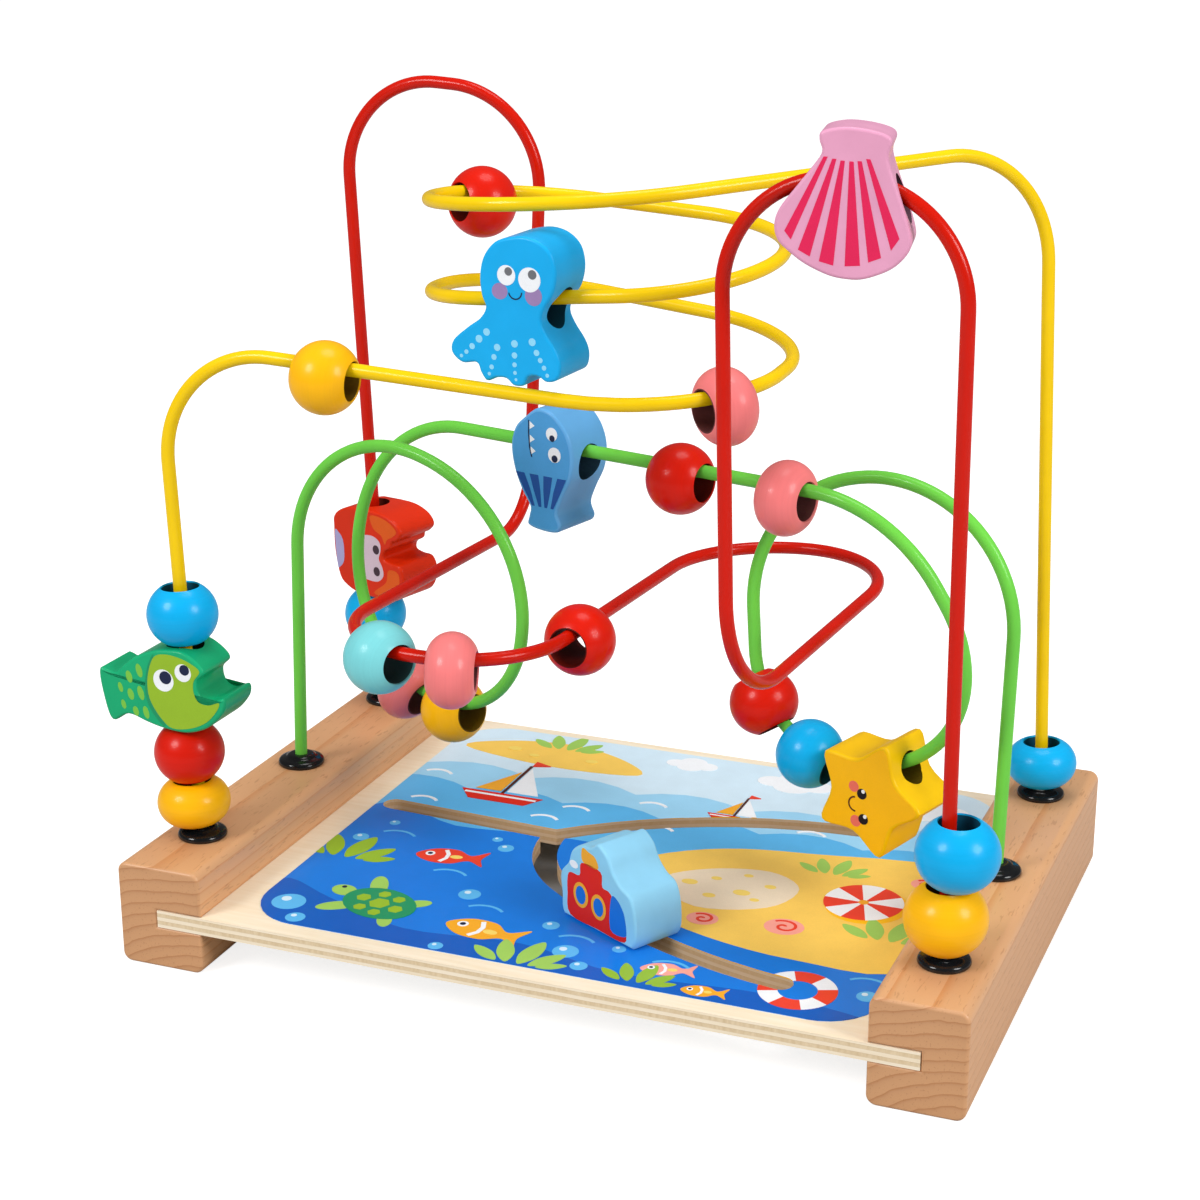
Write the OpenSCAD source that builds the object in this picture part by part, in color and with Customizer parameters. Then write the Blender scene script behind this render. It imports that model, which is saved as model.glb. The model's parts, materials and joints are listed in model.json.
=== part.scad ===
// Bead maze on a wooden base: two grooved rails, a plywood panel with a slot track, three bent wires
// with beads and animal shapes threaded on them, and a boat that rides in the track.
// Origin: centre of the footprint on the table. +X right, +Y back, +Z up. Millimetres.

/* [Base] */
// Overall width across both rails
base_w = 300; // [285:1:330]
// Depth of the rails and the panel
base_d = 205; // [195:1:240]
// Width of one rail
rail_w = 32; // [28:1:36]
// Height of one rail
rail_h = 37.5; // [36:0.5:46]
// Rounding of a rail's long edges
rail_round = 3.5; // [1:0.5:6]
// Rounding of a rail's upright end edges
rail_end_round = 2; // [0.5:0.5:4]
// Thickness of the plywood panel
panel_t = 6.2; // [4:0.2:7]
// Height of the panel's underside above the table
panel_lift = 15.3; // [13:0.1:16]
// Depth to which the panel is let into each rail
groove_depth = 17; // [8:0.5:19]
// Play around the panel in its grooves
groove_gap = 0.1; // [0.05:0.05:0.4]

/* [Slot track] */
// Width of the track's slot
slot_w = 9; // [8:0.5:12]
// Place where the three branches meet
slot_fork = [-32, 6]; // [-60:1:60]
// Far end of the left branch
slot_left = [-100, 10]; // [-105:1:60]
// Far end of the right branch
slot_right = [72, 50]; // [-80:1:80]
// Bend radius of the right branch
slot_right_r = 163; // [100:1:300]
// Radius of the tight bend that leads from the fork to the front
fork_r = 50; // [40:1:60]
// Turn of the tight bend
fork_turn = 50.5; // [45:0.5:55]
// Radius of the wide bend that follows it
front_r = 198; // [180:1:220]
// Turn of the wide bend
front_turn = 30.5; // [26:0.5:32]

/* [Collars and wires] */
// Distance of the outer collars of a rail from its middle one
collar_pitch = 72; // [66:1:80]
// Diameter of a collar's flange
collar_d = 17.4; // [14:0.2:22]
// Height of a collar's flange
collar_h = 4; // [3:0.2:6]
// Diameter of a collar's sleeve
sleeve_d = 9; // [7:0.2:12]
// Length of a collar's sleeve inside the rail
sleeve_l = 8; // [5:0.5:9]
// Diameter of the coated wire
wire_d = 4.6; // [3.6:0.1:6]
// Depth of the wire's end below the top of the rail
wire_depth = 13; // [10:0.5:14]
// Play around sleeves, wires, pegs and screws in their bores
bore_gap = 0.12; // [0.05:0.01:0.3]
// Bend radius where a leg leaves its collar
foot_r = 60; // [30:5:120]

/* [Beads] */
// Diameter of a round bead
bead_d = 24.5; // [22:0.5:27]
// Length of a round bead
bead_l = 20; // [17:0.5:22]
// Diameter of a large bead
large_d = 27; // [24:0.5:30]
// Length of a large bead
large_l = 22; // [18:0.5:24]
// Diameter of a barrel bead
barrel_d = 25.5; // [22:0.5:28]
// Length of a barrel bead
barrel_l = 16.5; // [14:0.5:18]
// Bore of the beads and of the animal shapes
bead_bore = 13; // [10:0.5:14]
// Clearance between pieces that rest on each other
rest_gap = 0.3; // [0.2:0.05:0.6]
// Clearance between a leaning bead and the collar below it
seat_gap = 0.6; // [0.5:0.05:1]
// Clearance between a piece and the wire in a bend
bend_gap = 0.45; // [0.4:0.05:0.8]

/* [Animal shapes] */
// Thickness of the fish
fish_t = 19; // [17:0.5:26]
// Height of the fish at its bore
fish_h = 30; // [26:0.5:32]
// Tilt of the fish, nose up
fish_tilt = 8; // [0:1:12]
// Thickness of the octopus
octopus_t = 21; // [18:0.5:28]
// Turn of the octopus to the left
octopus_turn = 6; // [0:1:10]
// Sideways stray of the wire in the octopus
octopus_stray = 2.3; // [1:0.1:3]
// Thickness of the shark
shark_t = 21; // [18:0.5:28]
// Thickness of the crab
crab_t = 20; // [18:0.5:28]
// Height of the crab at its bore
crab_h = 36; // [32:0.5:40]
// Turn of the crab to the left
crab_turn = 17; // [0:1:40]
// Thickness of the shell
shell_t = 18; // [17:0.5:24]
// Turn of the shell to the right
shell_turn = 12; // [0:1:14]
// Bore of the shell
shell_bore = 14; // [13:0.5:15]
// Thickness of the star
star_t = 23; // [18:0.5:28]
// Distance from the middle of the star to its points
star_r = 21.5; // [19:0.5:24]
// Distance from the middle of the star to its hollows
star_hollow = 14.2; // [14:0.1:17]
// Angle of the star's first point
star_turn = 56; // [50:1:90]
// Bore of the star
star_bore = 11.5; // [11.5:0.5:12]
// Length of the star's bore
star_bore_l = 29; // [26:0.5:34]
// Height of the star's bore above its middle
star_bore_up = 7.5; // [3:0.5:8.5]

/* [Places along the wires] */
// Yellow bead on the front run, from the start of the run
yellow_front_at = 20; // [14:1:60]
// Pink bead in the lower right bend of the coil, in degrees
pink_coil_at = 45; // [30:1:60]
// Octopus on the upper front run of the coil, from the start of the run
octopus_at = 8.5; // [4:0.5:30]
// Red bead in the upper left bend of the coil, in degrees
red_coil_at = 60; // [30:1:75]
// Cyan bead in the left turn of the red wire, in degrees
cyan_turn_at = 70; // [40:1:78]
// Pink bead in the second turn of the red wire, in degrees
pink_turn_at = 18; // [12:1:40]
// Red bead on the run across the panel, from the start of the run
red_run_at = 13.5; // [11:0.5:80]
// Shell on the top of the right arch, from the start of the run
shell_at = 4; // [0:0.5:5]
// Yellow bead in the left loop, in degrees
yellow_loop_at = 76; // [60:1:78]
// Pink bead in the left loop, in degrees of the next bend
pink_loop_at = 17; // [16:1:40]
// Shark on the long middle run, from the start of the run
shark_at = 44; // [20:1:70]
// Red bead on the long middle run, from the end of the run
red_middle_at = 50.5; // [40:0.5:75]
// Pink bead on the long middle run, from the end of the run
pink_middle_at = 8.5; // [7:0.5:25]
// Star in the right loop, in degrees
star_at = 103.5; // [90:0.5:107]
// Blue bead in the right loop, in degrees of the next bend
blue_loop_at = 21.5; // [18:0.5:30]
// Shift of the two lower beads on the left front leg inside their play
left_shift = -2.4; // [-3.5:0.1:3.5]
// Shift of the blue bead on the left back leg inside its play
blue_rear_shift = -2.6; // [-3.5:0.1:3.5]
// Shift of the blue bead on the right front leg inside its play
blue_right_shift = 3; // [-3.5:0.1:3.5]

/* [Boat] */
// Thickness of the boat block
boat_t = 21; // [18:0.5:28]
// Clearance between the boat and the panel
boat_lift = 0.6; // [0.4:0.1:1]
// Place of the boat in the wide bend of the track, in degrees
boat_at = 11; // [6:0.5:26]
// Diameter of the boat's peg
peg_d = 7; // [5:0.5:7.5]
// Depth of the peg inside the boat
peg_seat = 10; // [6:0.5:14]
// Diameter of the disc under the panel
disc_d = 18; // [14:0.5:24]
// Thickness of the disc under the panel
disc_t = 3; // [2:0.5:4]
// Diameter of the screw's shank
screw_d = 3; // [2:0.5:4]
// Depth of the screw inside the peg
screw_l = 9; // [6:0.5:12]
// Diameter of the screw's head
screw_head_d = 7; // [5:0.5:8]
// Height of the screw's head
screw_head_h = 2; // [1:0.5:3]

/* [Hidden] */
$fn = 64;
// Sides of a wire's cross-section, and the angle between its sections in a bend
wire_sides = 12;
wire_step = 8;
// Steps between two points of a smooth outline, and of an arc of the track
outline_steps = 5;
arc_steps = 10;
// Overrun of every cutting tool
cut = 1;

panel_top = panel_lift + panel_t;
rail_x = (base_w - rail_w) / 2;
inner_x = base_w / 2 - rail_w;
collar_top = rail_h + collar_h;

// Each wire runs from its left collar to its right one through corner points: place, height above
// the collars and bend radius. A leg leaves its collar upright and then leans a little.
function foot(x, y) = [[x, y, -collar_h - wire_depth, 0], [x, y, 0, foot_r]];
function foot_back(x, y) = [foot(x, y)[1], foot(x, y)[0]];
function lifted(r) = [for (c = r) [c.x, c.y, c.z + collar_top, c[3]]];

yellow = lifted(concat(
  foot(-rail_x, -collar_pitch),
  [
    [-rail_x - 7, -collar_pitch + 1, 172.5, 37], [10, -63, 163, 140],
    [58, -58, 165.5, 43], [60, 30, 170.5, 43], [-65, 30, 184.5, 42], [-61, -56, 189.5, 42],
    [64, -54, 200.5, 41], [49, 29, 207.5, 41], [-66, 30, 214.5, 41], [-62, -56, 220, 42],
    [11, -52, 224.5, 75], [rail_x - 10, collar_pitch, 233.5, 40]
  ],
  foot_back(rail_x, collar_pitch)
));
red = lifted(concat(
  foot(-rail_x, collar_pitch),
  [
    [-rail_x - 10, collar_pitch - 1, 246.5, 35], [-63, collar_pitch, 241.5, 36], [-72, 76, 77.5, 22],
    [-81, -83, 79.5, 36], [-7, -84, 78.5, 36], [2, 79, 76.5, 38], [81, 79, 79.5, 38],
    [63, -79, 70.5, 35], [56, -collar_pitch, 240.5, 34], [rail_x - 2, -collar_pitch - 2, 238.5, 36]
  ],
  foot_back(rail_x, -collar_pitch)
));
green = lifted(concat(
  foot(-rail_x, 0),
  [
    [-rail_x + 5, -2, 139.5, 45], [-29, -19, 112.5, 53], [-40, -12, 27.5, 41], [-148, 28, 34.5, 51],
    [-100, 24, 128.5, 47], [rail_x - 35, -26, 129.5, 51], [rail_x + 21, -19, 34.5, 48],
    [rail_x - 89, 10, 25.5, 37], [rail_x - 98, 20, 116.5, 47], [rail_x + 2, 4, 140.5, 48]
  ],
  foot_back(rail_x, 0)
));
// Corners that carry pieces in a bend, and runs, named by the corner that they start from
yellow_front_run = 2;
coil_low_right = 4;
coil_front_run = 7;
coil_top_left = 10;
red_left_turn = 5;
red_next_turn = 6;
red_cross_run = 6;
arch_top_run = 10;
left_loop_low = 4;
left_loop_back = 5;
middle_run = 6;
right_loop_low = 8;
right_loop_back = 9;

// Geometry of a route: runs are straight, bends are arcs at the corner points
function unit(v) = v / norm(v);
function corner(r, i) = [r[i].x, r[i].y, r[i].z];
function ahead(r, i) = unit(corner(r, i + 1) - corner(r, i));
function is_end(r, i) = i == 0 || i == len(r) - 1;
function bend_angle(r, i) = acos(max(-1, min(1, ahead(r, i - 1) * ahead(r, i))));
function setback(r, i) = is_end(r, i) ? 0 : r[i][3] * tan(bend_angle(r, i) / 2);
function run_length(r, i) = norm(corner(r, i + 1) - corner(r, i)) - setback(r, i) - setback(r, i + 1);
function run_point(r, i, s) = corner(r, i) + ahead(r, i) * (setback(r, i) + s);
function bend_inward(r, i) = unit(ahead(r, i) - ahead(r, i - 1));
function bend_centre(r, i) = corner(r, i) + bend_inward(r, i) * r[i][3] / cos(bend_angle(r, i) / 2);
function bend_out(r, i) = unit(corner(r, i) - ahead(r, i - 1) * setback(r, i) - bend_centre(r, i));
function bend_point(r, i, a) =
  bend_centre(r, i) + r[i][3] * (bend_out(r, i) * cos(a) + ahead(r, i - 1) * sin(a));
function bend_ahead(r, i, a) = ahead(r, i - 1) * cos(a) - bend_out(r, i) * sin(a);

// Sections of a wire: place and heading, then a side vector that never twists
function bend_sections(r, i) =
  let (n = max(1, ceil(bend_angle(r, i) / wire_step)))
  [for (k = [0 : n]) let (a = bend_angle(r, i) * k / n) [bend_point(r, i, a), bend_ahead(r, i, a)]];
function sections(r) = concat(
  [[corner(r, 0), ahead(r, 0)]],
  [for (i = [1 : len(r) - 2]) each bend_sections(r, i)],
  [[corner(r, len(r) - 1), ahead(r, len(r) - 2)]]
);
function across(v, t) = unit(v - t * (v * t));
function sides(s, i = 0, v = [1, 0, 0], done = []) =
  i == len(s) ? done
  : let (w = across(v, s[i][1])) sides(s, i + 1, w, concat(done, [w]));

module wire(r) {
  s = sections(r);
  side = sides(s);
  n = wire_sides;
  points = [
    for (i = [0 : len(s) - 1]) let (u = side[i], w = cross(s[i][1], u))
      for (k = [0 : n - 1]) s[i][0] + wire_d / 2 * (u * cos(360 * k / n) + w * sin(360 * k / n))
  ];
  skin = [
    for (i = [0 : len(s) - 2]) for (k = [0 : n - 1])
      [i * n + k, (i + 1) * n + k, (i + 1) * n + (k + 1) % n, i * n + (k + 1) % n]
  ];
  caps = [[for (k = [0 : n - 1]) k], [for (k = [n - 1 : -1 : 0]) (len(s) - 1) * n + k]];
  polyhedron(points, concat(skin, caps));
}

// Placing: local X and Z axes set at a point
module at(p, x, z) {
  y = cross(z, x);
  multmatrix([[x.x, y.x, z.x, p.x], [x.y, y.y, z.y, p.y], [x.z, y.z, z.z, p.z], [0, 0, 0, 1]])
    children();
}
function upright(t) = across([0, 0, 1], t);
// On a run or a bend a piece of length l hangs from the wire, with its bore along local X. The wire
// strays sideways in a turned piece, and leaves the bore's axis by its sag in a bend.
function sag(l, r) = l * l / (8 * r);
function bend_drop(r, i, a, l, bore) =
  let (room = (bore - wire_d) / 2 - bend_gap, s = sag(l, r[i][3]))
  let (lean = upright(bend_ahead(r, i, a)) * unit(bend_centre(r, i) - bend_point(r, i, a)))
  min(room, sqrt(room * room - s * s * (1 - lean * lean)) - s * lean);
module hang_on_run(r, i, s, stray = 0, bore = bead_bore) {
  t = ahead(r, i);
  room = (bore - wire_d) / 2 - rest_gap;
  at(run_point(r, i, s) - upright(t) * sqrt(room * room - stray * stray), t, upright(t)) children();
}
module hang_on_bend(r, i, a, l, bore = bead_bore) {
  t = bend_ahead(r, i, a);
  at(bend_point(r, i, a) - upright(t) * bend_drop(r, i, a, l, bore), t, upright(t)) children();
}
// Angle between two touching beads of lengths l and m in one bend, where their inner rims meet
function bend_pitch(r, i, l, m) =
  let (inner = r[i][3] - bead_bore / 2) atan((l + rest_gap) / 2 / inner) + atan((m + rest_gap) / 2 / inner);
// On a leg a piece is threaded upright, s above the collar, turned by yaw and shifted along local X
module on_left_leg(r, s, yaw = 0, shift = 0) {
  t = ahead(r, 1);
  at(corner(r, 1) + t * s, across([cos(yaw), sin(yaw), 0], t), t) translate([shift, 0, 0]) children();
}
module on_right_leg(r, s, shift = 0) {
  t = -ahead(r, len(r) - 3);
  at(corner(r, len(r) - 2) + t * s, across([1, 0, 0], t), t) translate([shift, 0, 0]) children();
}
module lying() {
  rotate([0, 90, 0]) children();
}

// A smooth closed outline through its points
function smooth(p) = [
  for (i = [0 : len(p) - 1], k = [0 : outline_steps - 1])
    let (n = len(p), t = k / outline_steps)
    let (a = p[(i + n - 1) % n], b = p[i], c = p[(i + 1) % n], d = p[(i + 2) % n])
    (2 * b + (c - a) * t + (2 * a - 5 * b + 4 * c - d) * t * t + (3 * b - a - 3 * c + d) * t * t * t) / 2
];
// A shape cut from a board: outline in local X and Z, thickness along local Y
module board_shape(p, t) {
  rotate([90, 0, 0]) linear_extrude(height = t, center = true) polygon(smooth(p));
}
// The same, cut flat above and below to height h
module flat_shape(p, t, h, tilt = 0) {
  intersection() {
    rotate([0, -tilt, 0]) board_shape(p, t);
    cube([4 * h, t + cut, h], center = true);
  }
}

// A bead turned from wood: a round bulge that meets the bore at both ends
module bead(d, l) {
  b = bead_bore / 2;
  centre = (d * d / 4 - b * b - l * l / 4) / (d - 2 * b);
  rotate_extrude() difference() {
    translate([centre, 0]) circle(d / 2 - centre);
    translate([b - d, -d]) square([d, 2 * d]);
  }
}
module round_bead() {
  bead(bead_d, bead_l);
}
module large_bead() {
  bead(large_d, large_l);
}
module barrel_bead() {
  bead(barrel_d, barrel_l);
}

// Base
module rounded(w, h, r) {
  square([w - 2 * r, h], center = true);
  square([w, h - 2 * r], center = true);
  for (x = [-1, 1], y = [-1, 1]) translate([x * (w / 2 - r), y * (h / 2 - r)]) circle(r);
}
module rail() {
  groove_w = groove_depth + groove_gap;
  difference() {
    intersection() {
      translate([0, 0, rail_h / 2]) rotate([90, 0, 0])
        linear_extrude(height = base_d, center = true) rounded(rail_w, rail_h, rail_round);
      linear_extrude(height = rail_h) rounded(rail_w, base_d, rail_end_round);
    }
    translate([rail_w / 2 - groove_w, -base_d / 2 - cut, panel_lift - groove_gap])
      cube([groove_w + cut, base_d + 2 * cut, panel_t + 2 * groove_gap]);
    for (y = [-collar_pitch, 0, collar_pitch]) translate([0, y, 0]) {
      translate([0, 0, rail_h - wire_depth - bore_gap])
        cylinder(d = wire_d + 2 * bore_gap, h = wire_depth + cut);
      translate([0, 0, rail_h - sleeve_l - bore_gap])
        cylinder(d = sleeve_d + 2 * bore_gap, h = sleeve_l + cut);
    }
  }
}
module rail_left() {
  color("#d6a578") translate([-rail_x, 0, 0]) rail();
}
module rail_right() {
  color("#d6a578") translate([rail_x, 0, 0]) rotate(180) rail();
}

// Slot track: a straight left branch, an arc to the right, and a tight and a wide arc to the front
function polar(c, r, a) = [c.x + r * cos(a), c.y + r * sin(a)];
function heading(c, p) = atan2(p.y - c.y, p.x - c.x);
function arc(c, r, from, to) = [for (k = [0 : arc_steps]) polar(c, r, from + (to - from) * k / arc_steps)];
function round_end(c, from) =
  [for (k = [1 : arc_steps - 1]) polar(c, slot_w / 2, from + 180 * k / arc_steps)];
function arc_centre(p, q, r) =
  let (m = (p + q) / 2, d = (q - p) / 2) m + [d.y, -d.x] / norm(d) * sqrt(r * r - d * d);
right_centre = arc_centre(slot_fork, slot_right, slot_right_r);
right_from = heading(right_centre, slot_right);
right_to = heading(right_centre, slot_fork);
fork_centre = slot_fork + [fork_r, 0];
front_from = 180 + fork_turn;
front_to = front_from + front_turn;
front_centre = polar(fork_centre, fork_r - front_r, front_from);
left_heading = heading(slot_left, slot_fork);
half = slot_w / 2;

left_slot = concat(
  [polar(slot_left, half, left_heading + 90)], round_end(slot_left, left_heading + 90),
  [polar(slot_left, half, left_heading - 90)],
  [polar(slot_fork, half, left_heading - 90)], round_end(slot_fork, left_heading - 90),
  [polar(slot_fork, half, left_heading + 90)]
);
right_slot = concat(
  arc(right_centre, slot_right_r + half, right_from, right_to), round_end(slot_fork, right_to),
  arc(right_centre, slot_right_r - half, right_to, right_from), round_end(slot_right, right_from + 180)
);
front_slot = concat(
  arc(fork_centre, fork_r + half, 180, front_from),
  [for (p = arc(front_centre, front_r + half, front_from, front_to)) if (p.x > fork_centre.x - fork_r) p],
  round_end(polar(front_centre, front_r, front_to), front_to),
  arc(front_centre, front_r - half, front_to, front_from),
  arc(fork_centre, fork_r - half, front_from, 180), round_end(slot_fork, 0)
);
module slot(p) {
  translate([0, 0, panel_lift - cut]) linear_extrude(height = panel_t + 2 * cut) polygon(p);
}
module panel() {
  panel_w = 2 * (inner_x + groove_depth);
  color("#f1dfbf") difference() {
    translate([-panel_w / 2, -base_d / 2, panel_lift]) cube([panel_w, base_d, panel_t]);
    slot(left_slot);
    slot(right_slot);
    slot(front_slot);
  }
}

// Collar: a domed flange on a sleeve that sits in the rail, bored for the wire
module collar(x, y) {
  rim = collar_h / 2;
  color("#17181a") translate([x, y, rail_h]) difference() {
    union() {
      cylinder(d = collar_d, h = rim);
      translate([0, 0, rim]) cylinder(d1 = collar_d, d2 = collar_d - 2 * rim, h = collar_h - rim);
      translate([0, 0, -sleeve_l]) cylinder(d = sleeve_d, h = sleeve_l);
    }
    translate([0, 0, -sleeve_l - cut]) cylinder(d = wire_d + 2 * bore_gap, h = sleeve_l + collar_h + 2 * cut);
  }
}
module collar_left_front() {
  collar(-rail_x, -collar_pitch);
}
module collar_left_middle() {
  collar(-rail_x, 0);
}
module collar_left_back() {
  collar(-rail_x, collar_pitch);
}
module collar_right_front() {
  collar(rail_x, -collar_pitch);
}
module collar_right_middle() {
  collar(rail_x, 0);
}
module collar_right_back() {
  collar(rail_x, collar_pitch);
}

module wire_yellow() {
  color("#f7c815") wire(yellow);
}
module wire_red() {
  color("#dd2417") wire(red);
}
module wire_green() {
  color("#66cc4d") wire(green);
}

// Stack on the left front leg, from the collar up
stack_yellow = seat_gap + barrel_l / 2;
stack_red = stack_yellow + barrel_l / 2 + rest_gap + bead_l / 2;
stack_fish = stack_red + bead_l / 2 + rest_gap + fish_h / 2;
stack_blue = stack_fish + fish_h / 2 + rest_gap + bead_l / 2;
module bead_yellow_left() {
  color("#f9b81c") on_left_leg(yellow, stack_yellow, shift = left_shift) barrel_bead();
}
module bead_red_left() {
  color("#e02a17") on_left_leg(yellow, stack_red, shift = left_shift) round_bead();
}
fish_outline = [
  [-28.5, 10], [-23, 8], [-18.5, 10.5], [-13, 13.3], [-6, 15], [0, fish_h / 2], [6, 14], [11, 10], [13, 6],
  [9.5, 3], [9.5, -2], [13, -4.5], [18.5, -3.5], [18, -7.5], [13, -12], [7, -14.5], [0, -fish_h / 2],
  [-8, -13], [-14, -10.5], [-21, -7.2], [-28, -9], [-29.5, 0]
];
module fish() {
  color("#1fa870") on_left_leg(yellow, stack_fish) difference() {
    flat_shape(fish_outline, fish_t, fish_h, fish_tilt);
    cylinder(d = bead_bore, h = fish_h + cut, center = true);
  }
}
module bead_blue_left() {
  color("#1fa9ea") on_left_leg(yellow, stack_blue) round_bead();
}

// Pieces along the yellow wire
module bead_yellow_front() {
  color("#f9b81c") hang_on_run(yellow, yellow_front_run, yellow_front_at) lying() round_bead();
}
module bead_pink_coil() {
  color("#f0808a") hang_on_bend(yellow, coil_low_right, pink_coil_at, barrel_l) lying() barrel_bead();
}
octopus_outline = [
  [0, 24], [-6, 22.5], [-10.5, 18], [-12.5, 12], [-12.5, 6], [-11.5, 2], [-14, -1.5], [-19, -4.5],
  [-24.5, -8.5], [-25.5, -12.5], [-22, -15.8], [-16.8, -15.8], [-15.5, -19], [-13.5, -21.6], [-10, -20.6],
  [-6.5, -20.8], [-4, -23], [-0.5, -23], [1.5, -20.2], [5, -20], [8, -21.8], [12, -20.8], [13.5, -16.5],
  [12.5, -12], [9.5, -6.8], [8, -2.5], [9.5, 1.5], [13, 6], [14.8, 12], [14, 18], [10.5, 22], [5.5, 24]
];
module octopus() {
  color("#23a9e8") hang_on_run(yellow, coil_front_run, octopus_at, octopus_stray) rotate(-octopus_turn)
    difference() {
      board_shape(octopus_outline, octopus_t);
      lying() cylinder(d = bead_bore, h = 3 * octopus_t, center = true);
    }
}
module bead_red_coil() {
  color("#e02a17") hang_on_bend(yellow, coil_top_left, red_coil_at, bead_l) lying() round_bead();
}
module bead_blue_back() {
  color("#1fa9ea") on_right_leg(yellow, seat_gap + barrel_l / 2) barrel_bead();
}

// Stack on the left back leg, from the collar up
rear_red = seat_gap + large_l / 2;
rear_blue = rear_red + large_l / 2 + rest_gap + bead_l / 2;
rear_crab = rear_blue + bead_l / 2 + rest_gap + crab_h / 2;
module bead_red_rear() {
  color("#e02a17") on_left_leg(red, rear_red) large_bead();
}
module bead_blue_rear() {
  color("#1fa9ea") on_left_leg(red, rear_blue, shift = blue_rear_shift) round_bead();
}
crab_outline = [
  [-13.8, -1], [-13.5, 9], [-13, 13], [-9.5, 16], [-3, crab_h / 2], [6, crab_h / 2], [14.5, 17.3], [21, 14.5],
  [23.5, 10.5], [21, 7.5], [18.5, 6.5], [17.5, 4], [14, 2], [13.2, -1], [17, -2.2], [21.5, -2.8], [23.5, -7],
  [22.5, -13], [19, -17], [13, -18.5], [6, -crab_h / 2], [-2, -17.5], [-8, -15.4], [-12, -11.5]
];
module crab() {
  color("#df3a1b") on_left_leg(red, rear_crab, yaw = -crab_turn) difference() {
    flat_shape(crab_outline, crab_t, crab_h);
    cylinder(d = bead_bore, h = crab_h + cut, center = true);
  }
}

// Pieces along the red wire
module bead_cyan_turn() {
  color("#85d8dd") hang_on_bend(red, red_left_turn, cyan_turn_at, bead_l) lying() round_bead();
}
module bead_pink_turn() {
  color("#f0808a") hang_on_bend(red, red_next_turn, pink_turn_at, barrel_l) lying() barrel_bead();
}
module bead_red_run() {
  color("#e02a17") hang_on_run(red, red_cross_run, red_run_at) lying() round_bead();
}
shell_outline = [
  [-8.6, 19], [-9.2, 16.5], [-8.3, 13.2], [-10.6, 9.2], [-14.9, 3.3], [-19.6, -3.3], [-21, -8],
  [-19.9, -12.6], [-16.3, -16], [-11.6, -19.2], [-5, -22], [0.3, -22.9], [5.6, -22.6], [12.3, -19.9],
  [16.3, -16.6], [18.6, -12.6], [18.3, -8.6], [15, 0.6], [11.6, 9.2], [10.6, 13.2], [11.5, 17],
  [9.6, 19], [3.6, 20.3], [-3, 20.5]
];
module shell() {
  color("#e5a3c2") hang_on_run(red, arch_top_run, shell_at, bore = shell_bore) rotate(shell_turn)
    difference() {
      board_shape(shell_outline, shell_t);
      lying() cylinder(d = shell_bore, h = 4 * shell_t, center = true);
    }
}
module bead_yellow_right() {
  color("#f9b81c") on_right_leg(red, seat_gap + large_l / 2) large_bead();
}
module bead_blue_right() {
  right_blue = seat_gap + large_l + rest_gap + large_l / 2;
  color("#1fa9ea") on_right_leg(red, right_blue, shift = blue_right_shift) large_bead();
}

// Pieces along the green wire
module bead_yellow_loop() {
  color("#f9b81c") hang_on_bend(green, left_loop_low, yellow_loop_at, bead_l) lying() round_bead();
}
module bead_pink_loop() {
  color("#f0808a") hang_on_bend(green, left_loop_back, pink_loop_at, barrel_l) lying() barrel_bead();
}
shark_outline = [
  [-2, 19], [-7, 15.5], [-11.5, 11], [-13.3, 4], [-12, -4], [-9, -11], [-5.5, -16.5], [-6, -20],
  [-6.3, -23.5], [0, -24.8], [6, -24.5], [8, -22], [6.5, -17.5], [9, -11], [12.5, -4], [13.5, 4],
  [11.5, 11], [7.5, 16], [3, 18.8]
];
module shark() {
  color("#5a9ed6") hang_on_run(green, middle_run, shark_at) difference() {
    board_shape(shark_outline, shark_t);
    lying() cylinder(d = bead_bore, h = 3 * shark_t, center = true);
  }
}
middle_length = run_length(green, middle_run);
module bead_red_middle() {
  color("#e02a17") hang_on_run(green, middle_run, middle_length - red_middle_at) lying() round_bead();
}
module bead_pink_middle() {
  color("#f0808a") hang_on_run(green, middle_run, middle_length - pink_middle_at) lying() barrel_bead();
}
// The star's outline has five points and five hollows, with its face towards the front
star_outline = [
  for (k = [0 : 9]) let (a = star_turn + 36 * k, r = k % 2 == 0 ? star_r : star_hollow)
    [r * cos(a), r * sin(a) - star_bore_up]
];
module star() {
  color("#f4bd12") hang_on_bend(green, right_loop_low, star_at, star_bore_l, star_bore) rotate(180)
    difference() {
      board_shape(star_outline, star_t);
      lying() cylinder(d = star_bore, h = 4 * star_r, center = true);
    }
}
module bead_blue_loop() {
  color("#1fa9ea") hang_on_bend(green, right_loop_back, blue_loop_at, bead_l) lying() round_bead();
}
red_loop_at = blue_loop_at + bend_pitch(green, right_loop_back, bead_l, bead_l);
module bead_red_loop() {
  color("#e02a17") hang_on_bend(green, right_loop_back, red_loop_at, bead_l) lying() round_bead();
}

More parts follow.
